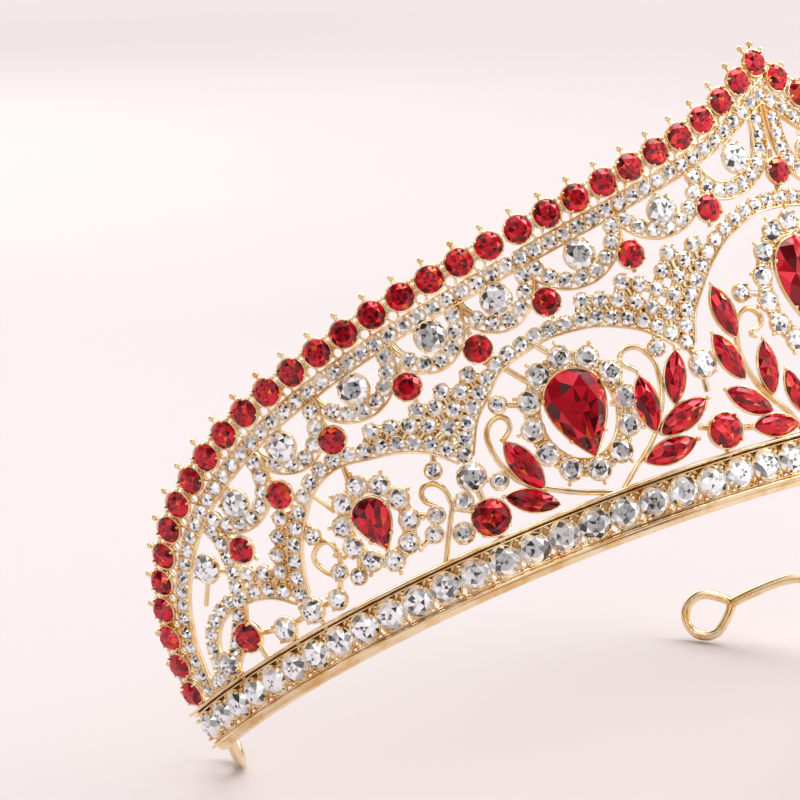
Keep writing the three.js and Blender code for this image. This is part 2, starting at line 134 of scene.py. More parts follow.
# each leaf is its tip's angle and height, then its foot's
SPRAYS = {
    "front_spray": {
        "stem": [(7.9, 18.3), (8.6, 18.9), (7.2, 19.5), (6.6, 20.7), (7.4, 22.1), (8.7, 22.4),
                 (9.9, 21.2), (10.4, 19.3), (10.6, 16.6), (10.1, 13.8), (9.1, 11.1), (7.6, 8.7),
                 (6.0, 6.6), (4.4, 3.6)],
        "leaves": [(12.1, 26.7, 10.8, 18.9), (13.5, 20, 11.1, 12.8), (7.4, 17.4, 7.8, 9.7),
                   (13.7, 11.8, 8.5, 7.3), (11.5, 5.8, 5.3, 4.6), (5.1, 12.5, 3.9, 6.0)],
    },
    "fern_spray": {
        "stem": [(23.1, 17.9), (23.7, 18.7), (24.6, 19.7), (24.7, 20.9), (23.9, 21.6),
                 (22.7, 21.6), (21.7, 20.4), (21.0, 18.4), (21.1, 15.7), (21.6, 13.0),
                 (22.8, 10.2), (24.0, 8.3), (25.6, 6.6), (27.3, 5.0), (29.2, 3.0)],
        "leaves": [(23.4, 17.4, 23.5, 9.3), (18.5, 19.3, 20.3, 12.2), (16.6, 11.5, 23, 8.7),
                   (19.2, 6.4, 25.7, 5.7)],
    },
    "bud_spray": {
        "stem": [(40.1, 15.6), (39.0, 16.3), (38.5, 17.3), (38.7, 18.5), (39.5, 19.0),
                 (40.4, 18.6), (41.2, 17.5), (41.4, 15.9), (41.3, 13.9), (40.9, 12.0),
                 (39.9, 9.5), (38.1, 7.7), (35.4, 5.7), (32.9, 4.3), (30.4, 3.2)],
        "leaves": [(39.7, 15.3, 37.7, 7.3), (41.9, 8.2, 36.7, 4.4)],
    },
}
HOOKS = [
    [(49.4, 10.9), (50.3, 12.0), (50.5, 13.2), (49.9, 14.2), (48.8, 14.1), (48.0, 13.0),
     (47.8, 11.4), (48.0, 9.8), (48.7, 8.4), (49.9, 6.0), (51.4, 3.0)],
    [(62.8, 11.0), (62.3, 11.5), (62.5, 13.0), (63.4, 13.6), (64.7, 13.0), (65.3, 11.8),
     (65.0, 10.3), (64.2, 8.9), (63.3, 8.7)],
]

# ---- sections of the gold lines: width, thickness, and how far out their middles lie ----

BAND_RAIL = (0.62, 2.3, 1.15)
BAND_LEDGE = (0.36, 1.5, 0.85)
BAND_FLOOR = (3.8, 0.5, 0.35)
BAND_RIB = (0.7, 0.5, 0.6)
BORDER_RAIL = (0.42, 1.0, 0.6)
BORDER_BACK = (1.5, 0.7, 0.55)
ROW_BACK = (1.3, 0.6, 0.45)
EDGE_RAIL = (0.42, 1.0, 0.75)
NECK = (0.8, 0.7, 0.5)
WEB_BAR = (1.5, 0.6, 0.45)
HALO_COLLAR = (0.7, 0.8, 0.6)
HALO_BACK = (1.5, 0.7, 0.5)
STEM = (0.85, 1.1, 0.7)
STALK = (1.0, 0.8, 0.5)
LINK = (0.9, 0.8, 0.5)
ROUND_SIDES, PLAIN_SIDES, HIDDEN_SIDES = 12, 8, 6


# ---- sizes and finishes that a user would change ----

class TiaraSizes(bpy.types.PropertyGroup):
    """The driving sizes of the tiara."""

    band_radius: bpy.props.FloatProperty(
        name="Band radius", description="From the crown's axis to the back of the wall at the band",
        default=68.8 * MM, min=0.04, unit="LENGTH", precision=4)
    flare: bpy.props.FloatProperty(
        name="Flare", description="How far the wall leans outwards", default=math.radians(16.7),
        subtype="ANGLE", unit="ROTATION")
    lean: bpy.props.FloatProperty(
        name="Lean", description="How far the worn crown leans back", default=math.radians(36.2),
        subtype="ANGLE", unit="ROTATION")
    border_stone: bpy.props.FloatProperty(
        name="Border stone", description="Radius of a red border stone", default=2.02 * MM,
        unit="LENGTH", precision=5)
    band_stone: bpy.props.FloatProperty(
        name="Band stone", description="Radius of a clear band stone", default=2.22 * MM,
        unit="LENGTH", precision=5)
    scallop_stone: bpy.props.FloatProperty(
        name="Scallop stone", description="Radius of the clear stone in each scallop",
        default=2.2 * MM, unit="LENGTH", precision=5)
    halo_stone: bpy.props.FloatProperty(
        name="Halo stone", description="Radius of a stone in a halo", default=1.62 * MM,
        unit="LENGTH", precision=5)
    small_stone: bpy.props.FloatProperty(
        name="Small stone", description="Radius of a paved stone", default=1.04 * MM,
        unit="LENGTH", precision=5)
    small_pitch: bpy.props.FloatProperty(
        name="Small stone pitch", description="From one paved stone to the next", default=2.36 * MM,
        unit="LENGTH", precision=5)
    wire: bpy.props.FloatProperty(
        name="Wire", description="Diameter of the base wire and its loops", default=1.85 * MM,
        unit="LENGTH", precision=5)
    seed: bpy.props.IntProperty(
        name="Seed", description="Seed of the tones that the facets take", default=7, min=0)


class TiaraFinishes(bpy.types.PropertyGroup):
    """The colours of the tiara and its stage."""

    gold: bpy.props.FloatVectorProperty(
        name="Gold", description="Polished pale gold plate", subtype="COLOR", size=3,
        default=(0.97, 0.79, 0.52), min=0, max=1)
    # shaded gold: painted shade over the whole recessed band floor, and the darker tone of random
    # patches on all the gold
    shaded_gold: bpy.props.FloatVectorProperty(
        name="Shaded gold", description="The deeper gold of worn and recessed places",
        subtype="COLOR", size=3, default=(0.82, 0.52, 0.22), min=0, max=1)
    red: bpy.props.FloatVectorProperty(
        name="Red", description="The stones' main red", subtype="COLOR", size=3,
        default=(0.60, 0.004, 0.020), min=0, max=1)
    # the colour of the clear stones' brightest painted reflections
    clear: bpy.props.FloatVectorProperty(
        name="Clear", description="The clear stones' brightest facets", subtype="COLOR", size=3,
        default=(0.93, 0.93, 0.95), min=0, max=1)
    floor: bpy.props.FloatVectorProperty(
        name="Floor", description="The pale floor", subtype="COLOR", size=3,
        default=(0.62, 0.565, 0.57), min=0, max=1)


def sizes():
    return bpy.context.scene.tiara_sizes


def finishes():
    return bpy.context.scene.tiara_finishes


# ---- the flat drawing ----

LINE_STEP = 0.6
SMOOTH_STEPS = 16
ROUGH_STEPS = 40


def apex_distance():
    """From the cone's tip to the band's line, in millimetres."""
    return sizes().band_radius / MM / math.sin(sizes().flare)


def flat(angle, height):
    """Where an angle and a height on the wall lie on the flat drawing."""
    turn = math.radians(angle) * math.sin(sizes().flare)
    reach = apex_distance() + height
    return Vector((reach * math.sin(turn), reach * math.cos(turn) - apex_distance()))


def upright(angle):
    """The turn that stands a drawing upright at an angle from the front."""
    return -math.radians(angle) * math.sin(sizes().flare)


def smooth(points, count):
    """count + 1 evenly spaced places on a smooth line through the points."""
    ends = [points[0] * 2 - points[1]] + list(points) + [points[-1] * 2 - points[-2]]
    fine = [points[0]]
    for before, start, end, after in zip(ends, ends[1:], ends[2:], ends[3:]):
        for i in range(1, SMOOTH_STEPS + 1):
            t = i / SMOOTH_STEPS
            fine.append(0.5 * (2 * start + (end - before) * t
                               + (2 * before - 5 * start + 4 * end - after) * t * t
                               + (3 * start - 3 * end + after - before) * t ** 3))
    return evenly(fine, count)


def evenly(line, count):
    """count + 1 evenly spaced places on a line of straight steps."""
    lengths = [0.0]
    for a, b in zip(line, line[1:]):
        lengths.append(lengths[-1] + (b - a).length)
    found, i = [], 0
    for k in range(count + 1):
        wanted = lengths[-1] * k / count
        while i < len(line) - 2 and lengths[i + 1] < wanted:
            i += 1
        step = max(lengths[i + 1] - lengths[i], 1e-9)
        found.append(line[i].lerp(line[i + 1], min(max((wanted - lengths[i]) / step, 0), 1)))
    return found


def length_of(line):
    return sum((b - a).length for a, b in zip(line, line[1:]))


def paced(line, pitch):
    """Evenly spaced places on a line, about a pitch apart."""
    return evenly(line, round(length_of(line) / pitch))


def route(places, side=1, step=LINE_STEP):
    """A smooth line on the flat drawing, with a point about every step."""
    points = [flat(side * angle, height) for angle, height in places]
    rough = smooth(points, ROUGH_STEPS)
    return evenly(rough, max(2, round(length_of(rough) / step)))


def along(line, i):
    return (line[min(i + 1, len(line) - 1)] - line[max(i - 1, 0)]).normalized()


def beside(line, distance):
    """The line that runs a distance to the left of another."""
    return [p + Vector((-along(line, i).y, along(line, i).x)) * distance
            for i, p in enumerate(line)]


def arc_line(start, end, height):
    """A line round the wall at one height, between two angles."""
    count = max(2, round(abs(end - start) * math.radians(sizes().band_radius / MM) / LINE_STEP))
    return [flat(start + (end - start) * i / count, height) for i in range(count + 1)]


def spot(point, out, size=1.0, spin=0.0):
    """A place for one part: where it lies, how far out, how large and how it is turned."""
    return (point.x, point.y, out, size, spin)


def row_of(line):
    """A spot at each point of a line, turned along the line."""
    return [spot(p, 0, 1, math.atan2(along(line, i).y, along(line, i).x))
            for i, p in enumerate(line)]


def seat(angle, height, size=1):
    """The upright spot at an angle and a height on the wall."""
    return spot(flat(angle, height), 0, size, upright(angle))


def raised(spots, out):
    """The same spots at another distance out."""
    return [(x, y, out, size, spin) for x, y, _, size, spin in spots]


def clear_of(spots, taken, gap):
    """The spots that keep a gap from those taken and from each other."""
    kept = []
    for s in spots:
        if all(math.hypot(s[0] - t[0], s[1] - t[1]) > gap for t in [*taken, *kept]):
            kept.append(s)
    return kept


# ---- small meshes that the node trees repeat ----

def mesh_of(name, vertices, faces, edges=()):
    mesh = bpy.data.meshes.new(name)
    mesh.from_pydata([tuple(c * MM for c in v) for v in vertices], list(edges), faces)
    mesh.validate()
    return mesh


def loft(rings, closed=False):
    """Rings of points joined in one closed skin: capped at both ends, or closed on itself."""
    count = len(rings[0])
    vertices = [v for ring in rings for v in ring]
    faces = []
    pairs = list(zip(range(len(rings)), range(1, len(rings))))
    if closed:
        pairs.append((len(rings) - 1, 0))
    for low, high in pairs:
        for i in range(count):
            j = (i + 1) % count
            faces.append((low * count + i, low * count + j, high * count + j, high * count + i))
    if not closed:
        faces.append(tuple(reversed(range(count))))
        faces.append(tuple(range((len(rings) - 1) * count, len(rings) * count)))
    return vertices, faces


def scaled(outline, factor, z, grow=0.0):
    """An outline about the origin, scaled, pushed outwards by a width, and set at a height."""
    ring = []
    for x, y in outline:
        reach = math.hypot(x, y) or 1
        ring.append((x * (factor + grow / reach), y * (factor + grow / reach), z))
    return ring


def circle(radius, count, start=0.0):
    turns = [start + math.tau * i / count for i in range(count)]
    return [(radius * math.cos(turn), radius * math.sin(turn)) for turn in turns]


def pear(length, width, count):
    """A pear outline with its point at the bottom."""
    points = []
    for i in range(count):
        turn = math.tau * i / count
        points.append((0.62 * width * math.sin(turn) * math.sin(turn / 2),
                       -length / 2 * math.cos(turn)))
    return points


def navette(length, width, count):
    """A leaf outline with a point at each end."""
    points = []
    for i in range(count):
        turn = math.tau * i / count
        swell = math.copysign(abs(math.sin(turn)) ** 1.5, math.sin(turn))
        points.append((-length / 2 * math.cos(turn), -width / 2 * swell))
    return points


def cut_stone(outline, rise, depth, table=0.58, shoulder=0.8):
    """A faceted stone: table facets in a fan, stars, kites, girdle facets and a shallow back."""
    count = len(outline)
    half = count // 2
    top = scaled(outline[::2], table, rise)
    inner = scaled(outline[1::2], table * 0.45, rise)
    middle = scaled(outline[1::2], shoulder, rise * 0.6)
    girdle = scaled(outline, 1, 0)
    back = scaled(outline, 0.86, -depth)
    vertices = [(0, 0, rise), *inner, *top, *middle, *girdle, *back]
    first_inner, first_top = 1, 1 + half
    first_middle, first_girdle, first_back = 1 + 2 * half, 1 + 3 * half, 1 + 3 * half + count
    faces = []
    for i in range(half):
        j = (i + 1) % half
        before = (i - 1) % half
        faces.append((0, first_inner + before, first_inner + i))
        faces.append((first_inner + before, first_top + i, first_inner + i))
        faces.append((first_inner + i, first_top + i, first_top + j))
        faces.append((first_top + i, first_middle + i, first_top + j))
        faces.append((first_top + i, first_middle + before, first_girdle + 2 * i, first_middle + i))
        faces.append((first_middle + i, first_girdle + 2 * i, first_girdle + 2 * i + 1))
        faces.append((first_middle + i, first_girdle + 2 * i + 1,
                      first_girdle + (2 * i + 2) % count))
    for i in range(count):
        j = (i + 1) % count
        faces.append((first_girdle + i, first_back + i, first_back + j, first_girdle + j))
    faces.append(tuple(first_back + i for i in reversed(range(count))))
    return vertices, faces


def small_stone(radius, rise, depth):
    """The lighter cut of the paved stones."""
    sides = 6
    table = [(x, y, rise) for x, y in circle(radius * 0.55, sides, math.pi / sides)]
    girdle = [(x, y, 0) for x, y in circle(radius, 2 * sides)]
    back = [(x, y, -depth) for x, y in circle(radius * 0.8, sides)]
    vertices = [(0, 0, rise), *table, *girdle, *back]
    first_girdle, first_back = 1 + sides, 1 + 3 * sides
    faces = []
    for i in range(sides):
        j = (i + 1) % sides
        g = first_girdle + 2 * i
        after = first_girdle + (2 * i + 2) % (2 * sides)
        faces.append((0, 1 + i, 1 + j))
        faces.append((1 + i, g, g + 1))
        faces.append((1 + i, g + 1, after))
        faces.append((1 + i, after, 1 + j))
        faces.append((g, first_back + i, g + 1))
        faces.append((g + 1, first_back + i, first_back + j, after))
    faces.append(tuple(first_back + i for i in reversed(range(sides))))
    return vertices, faces


def cup(outline, low, high, lip=0.22, foot=0.8):
    """A cup round an outline: a foot, a flared wall and a rounded lip over the stone's edge."""
    return loft([scaled(outline, foot, low), scaled(outline, 1, low + (high - low) * 0.55, lip),
                 scaled(outline, 1, high - lip * 0.3, lip), scaled(outline, 1, high, lip * 0.5),
                 scaled(outline, 1, high - lip * 0.2, -lip * 0.3),
                 scaled(outline, 0.9, high - lip * 3)])


def ball(radius, centre=(0, 0, 0), around=8, up=5, stretch=1.0):
    """A small round bead, or a claw where it is stretched."""
    x0, y0, z0 = centre
    vertices = [(x0, y0, z0 - radius * stretch)]
    for k in range(1, up):
        lift = math.pi * (k / up - 0.5)
        for x, y in circle(radius * math.cos(lift), around):
            vertices.append((x0 + x, y0 + y, z0 + radius * stretch * math.sin(lift)))
    vertices.append((x0, y0, z0 + radius * stretch))
    faces = []
    last = len(vertices) - 1
    for i in range(around):
        j = (i + 1) % around
        faces.append((0, 1 + j, 1 + i))
        faces.append((last, last - around + i, last - around + j))
        for k in range(up - 2):
            a, b = 1 + k * around, 1 + (k + 1) * around
            faces.append((a + i, a + j, b + j, b + i))
    return vertices, faces


def together(*shapes):
    """Several shapes as one list of vertices and one of faces."""
    vertices, faces = [], []
    for more_vertices, more_faces in shapes:
        offset = len(vertices)
        vertices += more_vertices
        faces += [tuple(offset + i for i in face) for face in more_faces]
    return vertices, faces


def claws(radius, height, count, size, start=0.0, sides=6, rings=4):
    """Claws that stand round a stone and bend over its edge."""
    return together(*[ball(size, (x, y, height), sides, rings, 1.6)
                      for x, y in circle(radius, count, start)])


# ---- node trees ----

class Tree:
    """A geometry node tree with named inputs, built one node at a time."""

    def __init__(self, name, inputs):
        self.group = bpy.data.node_groups.new(name, "GeometryNodeTree")
        sockets = self.group.interface
        sockets.new_socket("Geometry", in_out="INPUT", socket_type="NodeSocketGeometry")
        for label, kind in inputs:
            sockets.new_socket(label, in_out="INPUT", socket_type="NodeSocket" + kind)
        sockets.new_socket("Geometry", in_out="OUTPUT", socket_type="NodeSocketGeometry")
        self.inputs = self.node("NodeGroupInput").outputs

    def node(self, kind, settings=None, **values):
        """A node with its settings, and its inputs linked or set by name."""
        made = self.group.nodes.new(kind)
        for key, value in (settings or {}).items():
            setattr(made, key, value)
        for key, value in values.items():
            self.feed(made.inputs[key.replace("_", " ")], value)
        return made

    def feed(self, socket, value):
        if isinstance(value, bpy.types.NodeSocket):
            self.group.links.new(value, socket)
        else:
            socket.default_value = value

    def math(self, operation, first, second=0.0):
        made = self.node("ShaderNodeMath", {"operation": operation})
        self.feed(made.inputs[0], first)
        self.feed(made.inputs[1], second)
        return made.outputs[0]

    def finish(self, geometry):
        out = self.node("NodeGroupOutput")
        self.group.links.new(geometry, out.inputs[0])
        return self.group


WALL_INPUTS = [("Band radius", "Float"), ("Flare", "Float"), ("Lean", "Float")]


def bend_tree():
    """Bends what is drawn flat into the flared wall, and leans the wall back."""
    tree = Tree("Bend To Wall", WALL_INPUTS)
    radius, flare, lean = (tree.inputs[name] for name in ("Band radius", "Flare", "Lean"))
    add, subtract, multiply, divide = (partial(tree.math, kind)
                                       for kind in ("ADD", "SUBTRACT", "MULTIPLY", "DIVIDE"))
    sine, cosine = partial(tree.math, "SINE"), partial(tree.math, "COSINE")
    place = tree.node("ShaderNodeSeparateXYZ",
                      Vector=tree.node("GeometryNodeInputPosition").outputs[0])
    x, y, out = place.outputs
    slant, rise = sine(flare), cosine(flare)
    apex = divide(radius, slant)
    reach = add(y, apex)
    angle = divide(tree.math("ARCTAN2", x, reach), slant)
    height = subtract(tree.math("SQRT", add(multiply(x, x), multiply(reach, reach))), apex)
    wide = add(radius, add(multiply(height, slant), multiply(out, rise)))
    up = subtract(multiply(height, rise), multiply(out, slant))
    across = multiply(wide, sine(angle))
    back = multiply(multiply(wide, cosine(angle)), -1.0)
    lean_back, lean_up = cosine(lean), sine(lean)
    world_y = add(multiply(back, lean_back), multiply(up, lean_up))
    world_z = subtract(multiply(up, lean_back), multiply(back, lean_up))
    place = tree.node("ShaderNodeCombineXYZ", X=across, Y=world_y, Z=world_z)
    moved = tree.node("GeometryNodeSetPosition", Geometry=tree.inputs["Geometry"],
                      Position=place.outputs[0])
    return tree.finish(moved.outputs[0])


def in_use(sockets, name):
    """The socket of a name that the node's data type leaves in use."""
    return next(s for s in sockets if s.name == name and s.enabled)


def ended(tree, geometry, smooth_shading):
    """The end of each tree: real meshes, bent to the wall, a tone on each face, and a material."""
    real = tree.node("GeometryNodeRealizeInstances", Geometry=geometry)
    bent = tree.node("GeometryNodeGroup", {"node_tree": shared_tree("Bend To Wall", bend_tree)})
    tree.group.links.new(real.outputs[0], bent.inputs["Geometry"])
    for name, _ in WALL_INPUTS:
        tree.group.links.new(tree.inputs[name], bent.inputs[name])
    shaded = tree.node("GeometryNodeSetShadeSmooth", Geometry=bent.outputs[0],
                       Shade_Smooth=smooth_shading)
    # a random value for each face, which picks each stone facet's painted reflection
    tone = tree.node("FunctionNodeRandomValue", {"data_type": "FLOAT"}, Seed=tree.inputs["Seed"])
    stored = tree.node("GeometryNodeStoreNamedAttribute", {"data_type": "FLOAT", "domain": "FACE"},
                       Geometry=shaded.outputs[0], Name="facet")
    tree.group.links.new(in_use(tone.outputs, "Value"), in_use(stored.inputs, "Value"))
    painted = tree.node("GeometryNodeSetMaterial", Geometry=stored.outputs[0],
                        Material=tree.inputs["Material"])
    return tree.finish(painted.outputs[0])


def parts_tree():
    """Repeats one part at each point, sized and turned by the point's own values."""
    tree = Tree("Set Parts In Place", [("Part", "Object"), ("Smooth", "Bool"), ("Seed", "Int"),
                                       ("Material", "Material"), *WALL_INPUTS])
    part = tree.node("GeometryNodeObjectInfo", {"transform_space": "ORIGINAL"},
                     Object=tree.inputs["Part"])
    spin = tree.node("GeometryNodeInputNamedAttribute", {"data_type": "FLOAT"}, Name="spin")
    size = tree.node("GeometryNodeInputNamedAttribute", {"data_type": "FLOAT"}, Name="size")
    turn = tree.node("ShaderNodeCombineXYZ", Z=spin.outputs[0])
    placed = tree.node("GeometryNodeInstanceOnPoints", Points=tree.inputs["Geometry"],
                       Instance=part.outputs["Geometry"], Rotation=turn.outputs[0],
                       Scale=size.outputs[0])
    return ended(tree, placed.outputs[0], tree.inputs["Smooth"])


def wire_tree():
    """Runs a rounded wire, wide or flat, along every line of the drawing."""
    tree = Tree("Run Wire Along Lines", [("Width", "Float"), ("Thickness", "Float"),
                                         ("Sides", "Int"), ("Seed", "Int"),
                                         ("Material", "Material"), *WALL_INPUTS])
    lines = tree.node("GeometryNodeMeshToCurve", Mesh=tree.inputs["Geometry"])
    level = tree.node("GeometryNodeSetCurveNormal", {"mode": "Z_UP"}, Curve=lines.outputs[0])
    ring = tree.node("GeometryNodeCurvePrimitiveCircle", Resolution=tree.inputs["Sides"],
                     Radius=0.5)
    section = tree.node("ShaderNodeCombineXYZ", X=tree.inputs["Width"],
                        Y=tree.inputs["Thickness"], Z=1.0)
    shaped = tree.node("GeometryNodeTransform", Geometry=ring.outputs[0], Scale=section.outputs[0])
    skin = tree.node("GeometryNodeCurveToMesh", Curve=level.outputs[0],
                     Profile_Curve=shaped.outputs[0], Fill_Caps=True)
    return ended(tree, skin.outputs[0], True)


def shared_tree(name, maker):
    return bpy.data.node_groups.get(name) or maker()


def grown(tree, source, values):
    """The plain mesh that a node tree makes from a source mesh."""
    carrier = bpy.data.objects.new("carrier", source)
    bpy.context.scene.collection.objects.link(carrier)
    modifier = carrier.modifiers.new("maker", "NODES")
    modifier.node_group = tree
    shape = sizes()
    values = {"Band radius": shape.band_radius, "Flare": shape.flare, "Lean": shape.lean,
              "Seed": shape.seed, **values}
    for item in tree.interface.items_tree:
        if item.in_out == "INPUT" and item.name in values:
            modifier[item.identifier] = values[item.name]
    evaluated = carrier.evaluated_get(bpy.context.evaluated_depsgraph_get())
    mesh = bpy.data.meshes.new_from_object(evaluated)
    carrier.modifiers.clear()
    bpy.data.objects.remove(carrier)
    return mesh


def set_parts(spots, shape, material, smooth_shading=False, seed=0):
    """The mesh of one small shape repeated at every spot."""
    points = mesh_of("places", [s[:3] for s in spots], [])
    for column, name in ((3, "size"), (4, "spin")):
        values = points.attributes.new(name, "FLOAT", "POINT")
        values.data.foreach_set("value", [s[column] for s in spots])
    part = bpy.data.objects.new("part", mesh_of("part", *shape))
    bpy.context.scene.collection.objects.link(part)
    mesh = grown(shared_tree("Set Parts In Place", parts_tree), points,
                 {"Part": part, "Smooth": smooth_shading, "Material": material,
                  "Seed": sizes().seed + seed})
    bpy.data.objects.remove(part)
    return mesh


def run_wire(lines, section, material, sides=PLAIN_SIDES):
    """The mesh of a wire along flat lines; a line may carry its own distances out from the wall."""
    width, thickness, out = section
    vertices, edges = [], []
    for line in lines:
        start = len(vertices)
        vertices += [(p[0], p[1], out if len(p) < 3 else p[2]) for p in line]
        edges += [(start + i, start + i + 1) for i in range(len(line) - 1)]
    return grown(shared_tree("Run Wire Along Lines", wire_tree),
                 mesh_of("lines", vertices, [], edges),
                 {"Width": width * MM, "Thickness": thickness * MM, "Sides": sides,
                  "Material": material})


# ---- finishes ----

def new_material(name):
    material = bpy.data.materials.new(name)
    material.use_nodes = True
    nodes, links = material.node_tree.nodes, material.node_tree.links
    return material, nodes, links, nodes["Principled BSDF"]


def noise(nodes, links, scale, detail=3.0):
    where = nodes.new("ShaderNodeTexCoord")
    texture = nodes.new("ShaderNodeTexNoise")
    texture.inputs["Scale"].default_value = scale
    texture.inputs["Detail"].default_value = detail
    links.new(where.outputs["Object"], texture.inputs["Vector"])
    return texture.outputs["Fac"]


def ramp(nodes, links, source, stops):
    made = nodes.new("ShaderNodeValToRGB")
    elements = made.color_ramp.elements
    for element, (position, colour) in ((elements[0], stops[0]), (elements[1], stops[-1])):
        element.position = position
        element.color = (*colour, 1)
    for position, colour in stops[1:-1]:
        elements.new(position).color = (*colour, 1)
    links.new(source, made.inputs["Fac"])
    return made.outputs["Color"]


def grey(value):
    return (value, value, value)


GOLD_PATCHES, GOLD_POLISH, STONE_POLISH = 260, 900, 500
CAST_RIPPLE = {"scale": 1500, "detail": 2.0, "depth": 0.0002}

# painted reflections: how bright the facets are, from the darkest to the brightest, against a
# stone's own colour
RED_FACET_REFLECTIONS = [(0.0, 0.12), (0.28, 0.4), (0.52, 0.85), (0.82, 1.3), (0.94, 1.5)]
# a painted orange glint on the few brightest red facets
ORANGE_PAINTED_GLINT = (0.99, (1.0, 0.2, 0.02))
CLEAR_FACET_REFLECTIONS = [(0.0, 0.03), (0.1, 0.12), (0.22, 0.5), (0.42, 0.85), (0.62, 1.0)]


def polish(nodes, links, shader, scale, smoothest, roughest):
    """Roughness that wanders between two values."""
    links.new(ramp(nodes, links, noise(nodes, links, scale),
                   [(0.3, grey(smoothest)), (0.7, grey(roughest))]), shader.inputs["Roughness"])


def gold_material(name="polished_gold", roughness=(0.12, 0.26), bump=0.06, metal=1.0, painted_shade=False):
    """Polished pale gold plate, deeper in places, with the soft ripple of a cast surface. When
    asked for the shaded gold, it takes that deeper gold all over, as painted shade for recesses.
    """
    found = bpy.data.materials.get(name)
    if found:
        return found
    material, nodes, links, shader = new_material(name)
    finish = finishes()
    # painted shade: for recessed gold the bright stops also take the shaded gold
    bright = finish.shaded_gold if painted_shade else finish.gold
    links.new(ramp(nodes, links, noise(nodes, links, GOLD_PATCHES),
                   [(0.35, finish.shaded_gold), (0.55, bright), (0.75, bright)]),
              shader.inputs["Base Color"])
    polish(nodes, links, shader, GOLD_POLISH, *roughness)
    shader.inputs["Metallic"].default_value = metal
    ripple = nodes.new("ShaderNodeBump")
    ripple.inputs["Strength"].default_value = bump
    ripple.inputs["Distance"].default_value = CAST_RIPPLE["depth"]
    links.new(noise(nodes, links, CAST_RIPPLE["scale"], CAST_RIPPLE["detail"]),
              ripple.inputs["Height"])
    links.new(ripple.outputs["Normal"], shader.inputs["Normal"])
    return material


def stone_material(name, stops, roughness, settings, painted_glow=False):
    """Foil-backed glass: each facet takes its own tone from the stops, a painted reflection, and
    may also glow in that tone, which is painted light.
    """
    found = bpy.data.materials.get(name)
    if found:
        return found
    material, nodes, links, shader = new_material(name)
    tone = nodes.new("ShaderNodeAttribute")
    tone.attribute_type = "GEOMETRY"
    tone.attribute_name = "facet"
    colour = ramp(nodes, links, tone.outputs["Fac"], stops)
    links.new(colour, shader.inputs["Base Color"])
    if painted_glow:
        links.new(colour, shader.inputs["Emission Color"])
    polish(nodes, links, shader, STONE_POLISH, *roughness)
    for socket, value in settings.items():
        shader.inputs[socket].default_value = value
    return material


def red_material():
    """Deep red facets, each a random painted reflection, a few of which flash orange as a painted
    glint.
    """
    red = Vector(finishes().red)
    stops = [(place, red * share) for place, share in RED_FACET_REFLECTIONS] + [ORANGE_PAINTED_GLINT]
    return stone_material("foiled_red_stone", stops, (0.06, 0.16), {
        "Metallic": 0.45, "Coat Weight": 0.3, "Coat Roughness": 0.03, "IOR": 1.55})


def clear_material():
    """Bright, grey and dark clear facets side by side, as painted reflections that also glow
    faintly: painted light.
    """
    clear = Vector(finishes().clear)
    stops = [(place, clear * share) for place, share in CLEAR_FACET_REFLECTIONS]
    return stone_material("foiled_clear_stone", stops, (0.05, 0.14), {
        "Metallic": 0.7, "Coat Weight": 1.0, "Coat Roughness": 0.02,
        # the faint glow repeats each facet's painted tone: painted light, the stones are no lamps
        "Emission Strength": 0.13}, painted_glow=True)


# ---- a finished piece ----

def piece(name, meshes, slot, *nodes):
    """Joins meshes into one named piece that rides on the crown and stands for its CAD nodes."""
    objects = [bpy.data.objects.new(name, mesh) for mesh in meshes]
    for each in objects:
        bpy.context.scene.collection.objects.link(each)
    made = objects[0]
    if len(objects) > 1:
        with bpy.context.temp_override(active_object=made, object=made, selected_objects=objects,
                                       selected_editable_objects=objects):
            bpy.ops.object.join()
    made.data.name = name
    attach(made, "root")
    if nodes:
        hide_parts(*nodes)
    return made


def stops_of(word):
    """The sides that a casting covers, and the angles that its band runs between."""
    if word == "front":
        return (-CASTING_JOINT, CASTING_JOINT)
    return (-BAND_END, -CASTING_JOINT) if word == "left" else (CASTING_JOINT, BAND_END)


CASTINGS = ("left", "front", "right")
SIDES = {"left": -1, "right": 1}


def sides_of(word):
    return [-1, 1] if word == "front" else [SIDES[word]]


# ---- the band ----

BAND_OUT = 1.45
BAND_HEIGHTS = {"rails": (3.05, -2.82), "ledges": (2.42, -2.4), "floor": 1.2, "ribs": 2.5}


